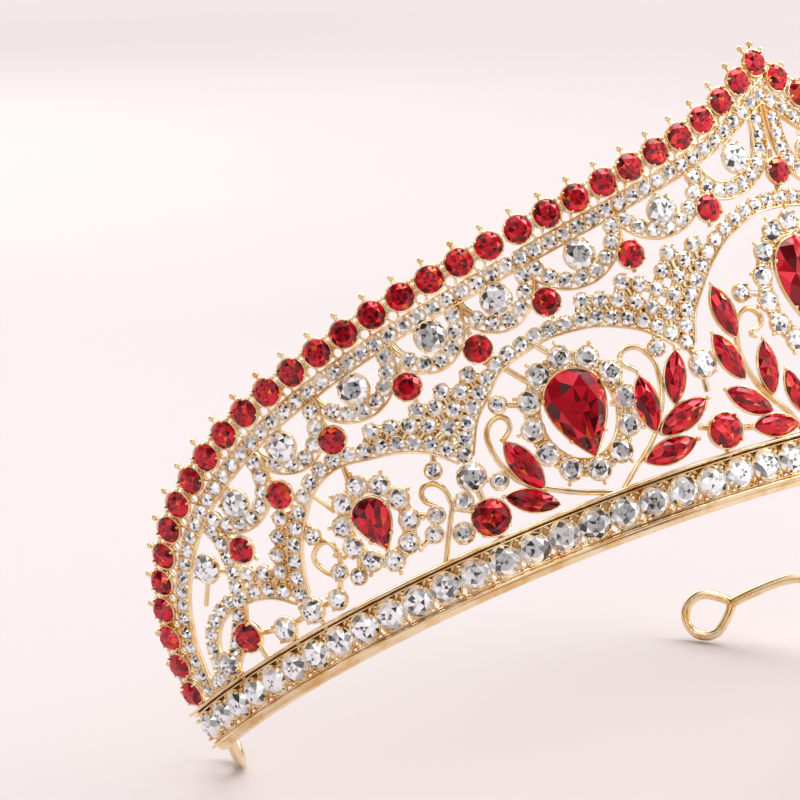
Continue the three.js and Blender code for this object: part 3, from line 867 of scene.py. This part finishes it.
class TIARA_OT_band(bpy.types.Operator):
    """Makes the band: two rails, a floor between them, and a row of clear stones held by claws"""
    bl_idname = "tiara.band"
    bl_label = "Band"

    def execute(self, context):
        gold, clear = gold_material(), clear_material()
        # the band's recessed floor is shaded gold all over: painted shade
        shaded_floor_gold = gold_material("shaded_band_floor_gold", (0.4, 0.6), metal=0.4, painted_shade=True)
        radius = sizes().band_stone / MM
        outline = circle(radius, 16)
        setting = together(cup(outline, 0.3, BAND_OUT, 0.2),
                           claws(radius, BAND_OUT + 0.3, 4, 0.34, math.pi / 4))
        rib = BAND_HEIGHTS["ribs"]
        for word in CASTINGS:
            start, end = stops_of(word)
            inside = [k for k in range(-BAND_STONES_TO_END, BAND_STONES_TO_END + 1)
                      if start < k * STONE_STEP < end]
            spots = [seat(k * STONE_STEP, 0) for k in inside]
            ribs = []
            for k in inside:
                left, right = ((k - 0.5) * STONE_STEP, (k + 0.5) * STONE_STEP)
                for a, b in ((left, right), (right, left)):
                    ribs.append([flat(max(start, min(end, a)), -rib),
                                 flat(max(start, min(end, b)), rib)])
            rails, ledges = ([arc_line(start, end, height) for height in BAND_HEIGHTS[kind]]
                             for kind in ("rails", "ledges"))
            meshes = [
                set_parts(spots, setting, gold, True),
                run_wire(rails, BAND_RAIL, gold),
                run_wire(ledges, BAND_LEDGE, gold),
                run_wire([arc_line(start, end, BAND_HEIGHTS["floor"])], BAND_FLOOR, shaded_floor_gold),
                run_wire(ribs, BAND_RIB, gold, HIDDEN_SIDES),
            ]
            piece(f"{word}_band_setting", meshes, "gold", f"{word}_band")
            stones = set_parts(raised(spots, BAND_OUT - 0.05), cut_stone(outline, 0.95, 0.5),
                               clear, seed=11)
            piece(f"{word}_band_clear_stones", [stones], "clear_stone", f"{word}_band_stones")
        return {"FINISHED"}


# ---- the base wire ----

WIRE_HEIGHT = -3.25
WIRE_OUT = 0.2
# the loop's middle in the upright crown, how far it draws to a tip, and the rise of its wire
LOOP = {"x": 53, "y": 26.6, "z": 1.7, "radius": 3.85, "tip": 0.3, "bow": 2.4, "steps": 40}


class TIARA_OT_base_wire(bpy.types.Operator):
    """Makes the base wire under the band, whose ends run inwards and turn into closed loops"""
    bl_idname = "tiara.base_wire"
    bl_label = "Base wire"

    def execute(self, context):
        gold = gold_material("satin_gold_wire", (0.16, 0.3), 0.04)
        wire = sizes().wire / MM
        lines = [arc_line(-BAND_END, BAND_END, WIRE_HEIGHT), loop_line(-1), loop_line(1)]
        piece("gold_base_wire", [run_wire(lines, (wire, wire, WIRE_OUT), gold, ROUND_SIDES)],
              "wire", "base_wire")
        return {"FINISHED"}


def wall_place(angle, height, out):
    """A place on the wall, in the upright crown's own axes, in millimetres."""
    flare, radius = sizes().flare, sizes().band_radius / MM
    reach = radius + height * math.sin(flare) + out * math.cos(flare)
    turn = math.radians(angle)
    return Vector((reach * math.sin(turn), -reach * math.cos(turn),
                   height * math.cos(flare) - out * math.sin(flare)))


def to_drawing(place):
    """The place on the drawing, and its distance out, that bends to a place in the crown's axes."""
    flare, radius = sizes().flare, sizes().band_radius / MM
    spread = math.hypot(place.x, place.y) - radius
    height = spread * math.sin(flare) + place.z * math.cos(flare)
    out = spread * math.cos(flare) - place.z * math.sin(flare)
    turn = math.atan2(place.x, -place.y)
    point = flat(math.degrees(turn), height)
    return (point.x, point.y, out)


def loop_line(side):
    """The wire from the band's end to its loop, and once round the loop, in drawing places."""
    end = wall_place(side * BAND_END, WIRE_HEIGHT, WIRE_OUT)
    centre = Vector((side * LOOP["x"], LOOP["y"], LOOP["z"]))
    level = centre - end
    level.z = 0
    level.normalize()
    ring = []
    for i in range(LOOP["steps"] + 1):
        turn = math.tau * i / LOOP["steps"]
        near, lift = math.cos(turn), math.sin(turn)
        pinch = max(near, 0.0) ** 2
        ring.append(centre - level * LOOP["radius"] * near * (1 + LOOP["tip"] * pinch)
                    + Vector((0, 0, -LOOP["radius"] * lift * (1 - LOOP["tip"] * pinch))))
    before = wall_place(side * (BAND_END - 3), WIRE_HEIGHT, WIRE_OUT)
    bow = Vector((0, 0, LOOP["bow"]))
    bowed = [end.lerp(ring[0], share) + bow * rise
             for share, rise in ((0.14, 0.5), (0.4, 1), (0.7, 0.65))]
    approach = smooth([before, end, *bowed, ring[0]], LOOP["steps"])
    return [to_drawing(p) for p in [*approach, *ring[1:]]]


# ---- the border ----

BORDER_OUT = 1.5
RAIL_INSET = 2.42
EYELET = {"inset": 1.7, "hole": 0.62, "edge": 0.95, "low": 0.5, "high": 1.0}
# how far the pins lean from square, on each side and on the peak stone, and the peak's fan of three
PIN_LEAN = {-1: math.radians(-4), 1: math.radians(-14), "peak": -0.1}
PEAK_FAN = (-0.75, 0, 0.75)


class TIARA_OT_border(bpy.types.Operator):
    """Makes the border: red stones in cups, with a pin and a bead outside and an eyelet inside"""
    bl_idname = "tiara.border"
    bl_label = "Border"

    def execute(self, context):
        gold, red = gold_material(), red_material()
        radius = sizes().border_stone / MM
        outline = circle(radius, 16)
        setting = together(cup(outline, 0.2, BORDER_OUT, 0.2),
                           claws(radius, BORDER_OUT + 0.2, 4, 0.24, math.pi / 4))
        corners = [(EYELET[reach], EYELET[level]) for reach, level in
                   (("hole", "low"), ("hole", "high"), ("edge", "high"), ("edge", "low"))]
        eyelet = loft([[(x * r, y * r, z) for x, y in circle(1, 10)] for r, z in corners],
                      closed=True)
        pin = pin_shape()
        for word in CASTINGS:
            beads, pins, eyelets, dots, rails, backs = [], [], [], [], [], []
            for side in sides_of(word):
                line = route(BORDER_ROUTE, side)
                every = evenly(line, BORDER_BEADS)
                steps_each = (len(line) - 1) / BORDER_BEADS
                if word == "front":
                    chosen = range(JOINT_BEAD + 1, BORDER_BEADS + (side > 0))
                    stretch = line[round((chosen[0] - 0.4) * steps_each):]
                else:
                    chosen = range(JOINT_BEAD + 1)
                    stretch = line[:round(JOINT_BEAD * steps_each) + 1]
                for i in chosen:
                    heading = along(every, i)
                    outwards = Vector((-heading.y, heading.x)) * -side
                    lean, fan = PIN_LEAN[side], (0,)
                    if i == BORDER_BEADS:
                        heading, outwards = Vector((1, 0)), Vector((0, 1))
                        lean, fan = PIN_LEAN["peak"], PEAK_FAN
                    turn = math.atan2(heading.y, heading.x)
                    beads.append(spot(every[i], 0, 1, turn))
                    aim = math.atan2(outwards.y, outwards.x) - math.pi / 2 + lean
                    pins += [spot(every[i], 0.9, 1, aim + tilt) for tilt in fan]
                    if i not in (JOINT_BEAD, BORDER_BEADS):
                        between = every[i].lerp(every[i + 1], 0.5)
                        eyelets.append(spot(between - outwards * EYELET["inset"], 0, 1, turn))
                        dots += [spot(between + outwards * 1.15 + heading * shift, BORDER_OUT - 0.1)
                                 for shift in (-0.36, 0.36)]
                        dots.append(spot(between + outwards * 0.2, BORDER_OUT - 0.3))
                rails.append(beside(stretch, side * RAIL_INSET))
                backs.append(stretch)
            meshes = [
                set_parts(beads, setting, gold, True),
                set_parts(pins, pin, gold, True),
                set_parts(eyelets, eyelet, gold, True),
                set_parts(dots, ball(0.36, around=6, up=4), gold, True),
                run_wire(rails, BORDER_RAIL, gold),
                run_wire(backs, BORDER_BACK, gold),
            ]
            piece(f"{word}_border_setting", meshes, "gold", f"{word}_border")
            stones = set_parts(raised(beads, BORDER_OUT - 0.05), cut_stone(outline, 0.9, 0.5),
                               red, seed=3)
            piece(f"{word}_border_red_stones", [stones], "red_stone")
        return {"FINISHED"}


def pin_shape():
    """A short tapered pin that points along +Y from a stone, with a bead at its tip."""
    rings = []
    for y, r in ((1.8, 0.42), (2.3, 0.28), (2.9, 0.2), (3.1, 0.2)):
        rings.append([(x, y, z) for x, z in reversed(circle(r, 6))])
    return together(loft(rings), ball(0.52, (0, 3.0, 0)))


# ---- the lace ----

LACE_OUT = 1.05
ROW_EDGE, INNER_EDGE, ARCH_EDGE = 1.3, 1.25, 1.28
# how near small stones may come to those set before them, as shares of their pitch
SWAG_GAP, WEB_GAP, SWAG_PITCH = 0.76, 0.8, 0.97


def angle_of(point):
    turn = math.atan2(point.x, point.y + apex_distance())
    return abs(math.degrees(turn / math.sin(sizes().flare)))


def lace_line(side):
    """The lace's upper row: inside the border, cut off at the crown's middle."""
    inset = beside(route(BORDER_ROUTE, side), side * LACE_INSET)
    kept = [p for p in inset if p.x * side > 0.9]
    return kept + [Vector((0.0, flat(0, BORDER_ROUTE[-1][1]).y - LACE_INSET * 1.3))]


def nearest(line, angle):
    return min(range(len(line)), key=lambda i: abs(angle_of(line[i]) - angle))


def lace_parts(side, first, last):
    """The rows between two knots, with their edges, scallop stones, red drops and necks."""
    line = lace_line(side)
    knots = [0 if k == 0 else nearest(line, LACE_KNOTS[k]) for k in range(first, last + 1)]
    upper = line[knots[0]:knots[-1] + 1]
    pitch = sizes().small_pitch / MM
    rows = [paced(upper, pitch)]
    rails, scallops, drops, necks = [beside(upper, side * ROW_EDGE)], [], [], []
    for number, (a, b) in enumerate(zip(knots, knots[1:]), first):
        start, end = line[a], line[b]
        middle, half = (start + end) / 2, (end - start) / 2
        inwards = Vector((-half.y, half.x)).normalized() * side
        arc = [middle + half * (math.cos(t) * 0.9) + inwards * math.sin(t) * SWAG_DEPTH
               for t in (math.pi * (1 - i / 40) for i in range(41))]
        if number == len(SCALLOPS) - 1:
            arc = route(PEAK_SWAG, side)
            rails.append(beside(arc, side * -INNER_EDGE))
        rows.append(paced(arc, pitch * SWAG_PITCH))
        rails.append(beside(arc, side * ROW_EDGE))
        turn = math.atan2(half.y, half.x)
        stone, drop = (flat(side * places[number][0], places[number][1])
                       for places in (SCALLOPS, DROPS))
        scallops.append(spot(stone, 0, 1, turn))
        necks.append([middle + inwards * 0.6, stone, stone + inwards * 3.2])
        drops.append(spot(drop, 0, 1, turn))
        away = (drop - end).normalized()
        necks.append([drop - away * 3.4, drop + away * 2.6])
    return rows, rails, scallops, drops, necks


def paved(spots):
    """The gold of a run of small stones: a cup for each, with a bead at each corner."""
    radius = sizes().small_stone / MM
    outline = circle(radius, 10)
    shape = together(
        loft([scaled(outline, 1, 0.1, 0.1), scaled(outline, 1, 0.75, 0.24),
              scaled(outline, 1, 1.02, 0.2), scaled(outline, 1, 1.02, 0.02),
              scaled(outline, 0.9, 0.6)]),
        claws(radius * 1.12, 1.12, 4, 0.23, math.pi / 4, 5, 3))
    return set_parts(spots, shape, gold_material(), True)


def paved_stones(spots, seed):
    radius = sizes().small_stone / MM
    return set_parts(raised(spots, LACE_OUT), small_stone(radius, 0.42, 0.4), clear_material(),
                     seed=seed)


def round_setting(radius, high, claw=0.3):
    """A cup for a round stone, with four claws."""
    outline = circle(radius, 16)
    return together(cup(outline, 0.2, high, 0.18),
                    claws(radius, high + 0.22, 4, claw, math.pi / 4))


class TIARA_OT_lace(bpy.types.Operator):
    """Makes the lace: a row of small stones, its swags, the scallops' stones and the red drops"""
    bl_idname = "tiara.lace"
    bl_label = "Lace"

    def execute(self, context):
        gold, clear, red = gold_material(), clear_material(), red_material()
        pitch = sizes().small_pitch / MM
        scallop, border = sizes().scallop_stone / MM, sizes().border_stone / MM
        for word in CASTINGS:
            ends = (JOINT_KNOT, len(SCALLOPS)) if word == "front" else (0, JOINT_KNOT)
            small, kinds = [], ([], [], [], [], [])
            for side in sides_of(word):
                found = lace_parts(side, *ends)
                for row in found[0]:
                    small += clear_of(row_of(row), small, pitch * SWAG_GAP)
                for kept, more in zip(kinds, found):
                    kept += more
            rows, rails, scallops, drops, necks = kinds
            drops = clear_of(drops, [], 1)
            meshes = [
                paved(small),
                run_wire(rows, ROW_BACK, gold, HIDDEN_SIDES),
                run_wire(rails, EDGE_RAIL, gold),
                run_wire(necks, NECK, gold),
                set_parts(scallops, round_setting(scallop, 1.4), gold, True),
                set_parts(drops, round_setting(border, 1.6), gold, True),
            ]
            piece(f"{word}_lace_setting", meshes, "gold", f"{word}_lace")
            big = set_parts(raised(scallops, 1.36), cut_stone(circle(scallop, 16), 0.95, 0.5),
                            clear, seed=5)
            piece(f"{word}_lace_clear_stones", [paved_stones(small, 21), big], "clear_stone")
            hung = set_parts(raised(drops, 1.55), cut_stone(circle(border, 16), 0.9, 0.5), red,
                             seed=8)
            piece(f"{word}_lace_red_stones", [hung], "red_stone")
        return {"FINISHED"}


# ---- the arches and the paved webs between them ----

LATTICE_REACH = 3.7


def crown_of(line):
    """The index of the highest point of an arch."""
    return max(range(len(line)), key=lambda i: (line[i] + Vector((0, apex_distance()))).length)


def lattice(spots):
    """Short bars of gold between neighbouring stones, which make the pierced plate they sit on."""
    bars = []
    for i, s in enumerate(spots):
        for t in spots[i + 1:]:
            if math.hypot(s[0] - t[0], s[1] - t[1]) < LATTICE_REACH:
                bars.append([Vector(s[:2]), Vector(t[:2])])
    return run_wire(bars, WEB_BAR, gold_material(), HIDDEN_SIDES)


def web_spots(index, side):
    """The small stones on the halves of a web's arches, and those that pave the space between."""
    pitch = sizes().small_pitch / MM
    falling, rising = route(ARCHES[index], side), route(ARCHES[index + 1], side)
    down, up = falling[crown_of(falling):], rising[:crown_of(rising) + 1]
    if index == 2 and side < 0:
        up = up[:-1]  # the right half has the stone in the crown's middle
    spots = row_of(paced(up, pitch))
    spots += clear_of(row_of(paced(down, pitch)), spots, pitch * WEB_GAP)
    inner = [seat(side * angle, height) for angle, height in WEB_STONES[index]]
    spots += clear_of(inner, spots, pitch * WEB_GAP)
    return spots, [beside(down, side * ARCH_EDGE), beside(up, side * ARCH_EDGE)]


class TIARA_OT_arches(bpy.types.Operator):
    """Makes the arches with their smooth inner edges, and paves the webs between them"""
    bl_idname = "tiara.arches"
    bl_label = "Arches"

    def execute(self, context):
        gold = gold_material()
        pitch = sizes().small_pitch / MM
        for word, side in SIDES.items():
            line = route(ARCHES[0], side)
            half = line[:crown_of(line) + 1]
            spots = row_of(paced(half, pitch))
            rail = run_wire([beside(half, side * ARCH_EDGE)], EDGE_RAIL, gold)
            piece(f"{word}_end_arch_setting", [paved(spots), rail], "gold", f"{word}_end_arch")
            piece(f"{word}_end_arch_clear_stones", [paved_stones(spots, 31)], "clear_stone")
            for index, name in enumerate(("end_web", "middle_web", "front_web")):
                spots, rails = web_spots(index, side)
                meshes = [paved(spots), lattice(spots), run_wire(rails, EDGE_RAIL, gold)]
                piece(f"{word}_{name}_setting", meshes, "gold", f"{word}_{name}")
                piece(f"{word}_{name}_clear_stones", [paved_stones(spots, 41 + index)],
                      "clear_stone")
        return {"FINISHED"}


# ---- the pears and their halos ----

PEAR_OUT = 1.7
HALO_OUT = 1.35
END_HALO_SHARE = 0.9
COLLAR_SHARE = 0.8
NUGGET_SHARES = (0.88, 1.1)


def pear_places():
    """Each pear's name, its sizes, and the side that it is on."""
    found = [("front", PEARS["front"], 1)]
    for word, side in SIDES.items():
        found += [(f"{word}_{name}", PEARS[name], side) for name in ("middle", "end")]
    return found


class TIARA_OT_halos(bpy.types.Operator):
    """Makes the ring of clear stones round each pear, with its collar and its outer beads"""
    bl_idname = "tiara.halos"
    bl_label = "Halos"

    def execute(self, context):
        gold, clear = gold_material(), clear_material()
        for number, (name, sizes_of, side) in enumerate(pear_places()):
            angle, height = sizes_of["at"]
            wide, tall = sizes_of["halo"]
            centre, turn = flat(side * angle, height), upright(side * angle)
            radius = sizes().halo_stone / MM * (END_HALO_SHARE if "end" in name else 1)
            around = [Vector((wide * math.sin(t), tall * math.cos(t)))
                      for t in (math.tau * i / 96 for i in range(97))]
            spots, beads, nuggets = [], [], []
            places = evenly(around, sizes_of["count"])
            for p, following in zip(places, places[1:]):
                spots.append(turned_spot(p, centre, turn))
                away = p.normalized() * (radius + 0.5)
                beads.append(turned_spot(p + away, centre, turn))
                nuggets += [turned_spot((p + following) / 2 * share, centre, turn)
                            for share in NUGGET_SHARES]
            collar = [turned(p * COLLAR_SHARE, centre, turn) for p in around]
            ring = [turned(p, centre, turn) for p in around]
            meshes = [
                set_parts(spots, round_setting(radius, HALO_OUT, 0.24), gold, True),
                set_parts(raised(beads, 1.2), ball(0.36), gold, True),
                set_parts(raised(nuggets, 0.95), ball(0.42), gold, True),
                run_wire([collar], HALO_COLLAR, gold),
                run_wire([ring], HALO_BACK, gold),
            ]
            piece(f"{name}_halo_setting", meshes, "gold", f"{name}_halo")
            stones = set_parts(raised(spots, HALO_OUT - 0.04),
                               cut_stone(circle(radius, 12), 0.72, 0.4), clear, seed=51 + number)
            piece(f"{name}_halo_clear_stones", [stones], "clear_stone")
        return {"FINISHED"}


def turned(point, centre, turn):
    """A point of a drawing about the origin, turned and moved to its centre."""
    return Vector((centre.x + point.x * math.cos(turn) - point.y * math.sin(turn),
                   centre.y + point.x * math.sin(turn) + point.y * math.cos(turn)))


def turned_spot(point, centre, turn):
    heading = math.atan2(point.y, point.x) + turn
    return spot(turned(point, centre, turn), 0, 1, heading)


class TIARA_OT_pears(bpy.types.Operator):
    """Makes the red pear stones in their gold rims"""
    bl_idname = "tiara.pears"
    bl_label = "Pears"

    def execute(self, context):
        gold, red = gold_material(), red_material()
        for number, (name, sizes_of, side) in enumerate(pear_places()):
            angle, height = sizes_of["at"]
            length, width = sizes_of["length"], sizes_of["width"]
            place = [seat(side * angle, height)]
            stone = set_parts(raised(place, PEAR_OUT),
                              cut_stone(pear(length, width, 20), 0.19 * width, 0.8, 0.62, 0.84),
                              red, seed=61 + number)
            piece(f"{name}_red_pear", [stone], "red_stone", f"{name}_pear")
            rim = cup(pear(length, width, 40), 0.4, PEAR_OUT + 0.1, 0.22, 0.7)
            held = together(rim, *[ball(0.4, (x, y, PEAR_OUT + 0.2))
                                   for x, y in pear(length + 0.3, width + 0.3, 6)])
            piece(f"{name}_pear_rim", [set_parts(place, held, gold, True)], "gold")
        return {"FINISHED"}


# ---- the leaf sprays ----

LEAF = {"length": 8.2, "width": 3.5, "out": 1.5}
STEM_STEP = 0.4


class TIARA_OT_sprays(bpy.types.Operator):
    """Makes the red leaves in their troughs, the scrolled stems and the small hooks"""
    bl_idname = "tiara.sprays"
    bl_label = "Leaf sprays"

    def execute(self, context):
        gold, red = gold_material(), red_material()
        outline = navette(LEAF["length"], LEAF["width"], 16)
        rim = navette(LEAF["length"], LEAF["width"], 24)
        trough = together(cup(rim, 0.3, LEAF["out"] + 0.05, 0.24, 0.8),
                          ball(0.42, (LEAF["length"] / 2 + 0.35, 0, LEAF["out"] - 0.1)))
        for word, side in SIDES.items():
            for number, (name, spray) in enumerate(SPRAYS.items()):
                leaves = []
                for tip_angle, tip_height, foot_angle, foot_height in spray["leaves"]:
                    tip = flat(side * tip_angle, tip_height)
                    foot = flat(side * foot_angle, foot_height)
                    reach = tip - foot
                    leaves.append(spot((tip + foot) / 2, 0, reach.length / LEAF["length"],
                                       math.atan2(reach.y, reach.x)))
                stones = set_parts(raised(leaves, LEAF["out"]),
                                   cut_stone(outline, 0.95, 0.5, 0.5, 0.76), red, seed=71 + number)
                piece(f"{word}_{name}_red_leaves", [stones], "red_stone", f"{word}_{name}")
                stems = [spray["stem"], *(HOOKS if name == "bud_spray" else ())]
                lines = [route(stem, side, STEM_STEP) for stem in stems]
                meshes = [set_parts(leaves, trough, gold, True), run_wire(lines, STEM, gold)]
                piece(f"{word}_{name}_setting", meshes, "gold")
        return {"FINISHED"}


# ---- the berries ----

STALK_FOOT = 2.6


class TIARA_OT_berries(bpy.types.Operator):
    """Makes the round red and clear stones that stand between the band and the arches"""
    bl_idname = "tiara.berries"
    bl_label = "Berries"

    def execute(self, context):
        gold = gold_material()
        for word, side in SIDES.items():
            kinds = (("red", RED_BERRIES, red_material(), 1.9),
                     ("clear", CLEAR_BERRIES, clear_material(), 1.6))
            for kind, berries, material, out in kinds:
                for number, (angle, height, radius) in enumerate(berries, 1):
                    place = [seat(side * angle, height)]
                    stone = set_parts(raised(place, out),
                                      cut_stone(circle(radius, 16), radius * 0.45, 0.5), material,
                                      seed=81 + number)
                    piece(f"{word}_{kind}_berry_stone_{number}", [stone], f"{kind}_stone",
                          f"{word}_{kind}_berry_{number}")
                    foot = max(STALK_FOOT, height - radius - 2)
                    stalk = [flat(side * angle, foot), flat(side * angle, height)]
                    setting = round_setting(radius, out + 0.05, 0.32)
                    meshes = [set_parts(place, setting, gold, True), run_wire([stalk], STALK, gold)]
                    piece(f"{word}_{kind}_berry_cup_{number}", meshes, "gold")
            loose = [seat(side * a, h, r) for a, h, r in LOOSE_CLEARS]
            links = [[flat(side * a, h) for a, h in pair] for pair in LINKS]
            meshes = [set_parts(loose, round_setting(1, 1.0, 0.22), gold, True),
                      run_wire(links, LINK, gold)]
            piece(f"{word}_loose_clear_cups", meshes, "gold")
            stones = set_parts([(x, y, 0.98 * s, s, t) for x, y, _, s, t in loose],
                               cut_stone(circle(1, 12), 0.45, 0.4), clear_material(), seed=95)
            piece(f"{word}_loose_clear_stones", [stones], "clear_stone")
        return {"FINISHED"}


# ---- the stage ----

CAMERA = {"place": (-0.2955, -0.3266, 0.1396), "aim": (0.6055, 0.7632, -0.2257), "lens": 125.8}
FLOOR_REACH = 4.0
# painted light: the floor's colour grows from its own tone near by to 1.5 times brighter far away,
# by distance and soft noise patches, standing in for light the far floor lacks
FLOOR_PAINTED_LIGHT = {"by_distance": 8.0, "share": 0.06, "near": 0.2, "far": 0.8, "lift": 1.5, "patches": 6}
ROOM_TONES = [(0.38, (0.10, 0.08, 0.07)), (0.49, (0.55, 0.5, 0.49)), (0.58, (1.1, 1.05, 1.04))]
ROOM_PATCHES = {"Scale": 1.6, "Detail": 0.5}
BACKDROP = (0.95, 0.865, 0.865)
# name, place, size and power of the area lights
LIGHTS = [
    ("key", (0.55, -0.35, 0.55), 0.35, 3.4),
    ("fill", (-0.7, -0.5, 0.5), 0.5, 1.1),
    ("top", (0.0, 0.1, 0.9), 0.7, 1.4),
    ("back", (0.2, 0.8, 0.5), 0.5, 1.6),
]
SUN = {"place": (0.5, 0.2, 1.0), "strength": 1.7, "angle": 0.8}


def aimed(made, place, direction):
    made.location = place
    made.rotation_euler = Vector(direction).to_track_quat("-Z", "Y").to_euler()
    bpy.context.scene.collection.objects.link(made)
    return made


class TIARA_OT_stage(bpy.types.Operator):
    """Makes the pale floor, the soft studio lights and the camera"""
    bl_idname = "tiara.stage"
    bl_label = "Stage"

    def execute(self, context):
        scene = context.scene
        camera = bpy.data.cameras.new("camera")
        camera.lens = CAMERA["lens"]
        camera.sensor_width = 36
        camera.clip_start = 0.01
        scene.camera = aimed(bpy.data.objects.new("camera", camera), CAMERA["place"], CAMERA["aim"])
        for name, place, size, power in LIGHTS:
            lamp = bpy.data.lights.new(name, "AREA")
            lamp.size = size
            lamp.energy = power
            aimed(bpy.data.objects.new(name, lamp), place, -Vector(place))
        sun = bpy.data.lights.new("sky", "SUN")
        sun.energy = SUN["strength"]
        sun.angle = SUN["angle"]
        aimed(bpy.data.objects.new("sky", sun), SUN["place"], -Vector(SUN["place"]))
        world = bpy.data.worlds.new("studio")
        world.use_nodes = True
        nodes, links = world.node_tree.nodes, world.node_tree.links
        where, patches = nodes.new("ShaderNodeTexCoord"), nodes.new("ShaderNodeTexNoise")
        for socket, value in ROOM_PATCHES.items():
            patches.inputs[socket].default_value = value
        links.new(where.outputs["Generated"], patches.inputs["Vector"])
        room = ramp(nodes, links, patches.outputs["Fac"], ROOM_TONES)
        seen, pick = nodes.new("ShaderNodeLightPath"), nodes.new("ShaderNodeMix")
        pick.data_type = "RGBA"
        links.new(seen.outputs["Is Camera Ray"], pick.inputs["Factor"])
        links.new(room, in_use(pick.inputs, "A"))
        in_use(pick.inputs, "B").default_value = (*BACKDROP, 1)
        links.new(in_use(pick.outputs, "Result"), nodes["Background"].inputs["Color"])
        scene.world = world
        scene.view_settings.view_transform = "Standard"
        low = CAD_BOX[0][2]
        mesh = bpy.data.meshes.new("floor")
        corners = ((-1, -1), (1, -1), (1, 1), (-1, 1))
        mesh.from_pydata([(x * FLOOR_REACH, y * FLOOR_REACH, low) for x, y in corners], [],
                         [(0, 1, 2, 3)])
        floor = bpy.data.objects.new("floor", mesh)
        scene.collection.objects.link(floor)
        material, nodes, links, shader = new_material("pale_floor")
        # painted light: the floor brightens with distance, in soft patches
        colour = Vector(finishes().floor)
        where, away = nodes.new("ShaderNodeTexCoord"), nodes.new("ShaderNodeVectorMath")
        away.operation = "LENGTH"
        links.new(where.outputs["Object"], away.inputs[0])
        painted_light_spread = nodes.new("ShaderNodeMath")
        painted_light_spread.operation = "MULTIPLY_ADD"
        painted_light_spread.inputs[1].default_value = FLOOR_PAINTED_LIGHT["by_distance"]
        links.new(away.outputs["Value"], painted_light_spread.inputs[0])
        links.new(noise(nodes, links, FLOOR_PAINTED_LIGHT["patches"]), painted_light_spread.inputs[2])
        share = nodes.new("ShaderNodeMath")
        share.operation = "MULTIPLY"
        share.inputs[1].default_value = FLOOR_PAINTED_LIGHT["share"]
        links.new(painted_light_spread.outputs[0], share.inputs[0])
        tones = [(FLOOR_PAINTED_LIGHT["near"], colour), (FLOOR_PAINTED_LIGHT["far"], colour * FLOOR_PAINTED_LIGHT["lift"])]
        links.new(ramp(nodes, links, share.outputs[0], tones), shader.inputs["Base Color"])
        shader.inputs["Roughness"].default_value = 0.6
        mesh.materials.append(material)
        return {"FINISHED"}


# ---- the add-on ----

class TIARA_PT_panel(bpy.types.Panel):
    """Lists the tiara's sizes, finishes and pieces"""
    bl_idname = "TIARA_PT_panel"
    bl_label = "Openwork Tiara"
    bl_space_type = "VIEW_3D"
    bl_region_type = "UI"
    bl_category = "Tiara"

    def draw(self, context):
        for group in (context.scene.tiara_sizes, context.scene.tiara_finishes):
            box = self.layout.box()
            for name in group.__annotations__:
                box.prop(group, name)
        for operator in OPERATORS:
            self.layout.operator(operator.bl_idname)


OPERATORS = (TIARA_OT_stage, TIARA_OT_base_wire, TIARA_OT_band, TIARA_OT_border, TIARA_OT_lace,
             TIARA_OT_arches, TIARA_OT_halos, TIARA_OT_pears, TIARA_OT_sprays, TIARA_OT_berries)
CLASSES = (TiaraSizes, TiaraFinishes, *OPERATORS, TIARA_PT_panel)


def register():
    for each in CLASSES:
        bpy.utils.register_class(each)
    bpy.types.Scene.tiara_sizes = bpy.props.PointerProperty(type=TiaraSizes)
    bpy.types.Scene.tiara_finishes = bpy.props.PointerProperty(type=TiaraFinishes)


def unregister():
    del bpy.types.Scene.tiara_finishes
    del bpy.types.Scene.tiara_sizes
    for each in reversed(CLASSES):
        bpy.utils.unregister_class(each)


def main():
    register()
    for operator in OPERATORS:
        group, name = operator.bl_idname.split(".")
        getattr(getattr(bpy.ops, group), name)()


if __name__ == "__main__":
    main()
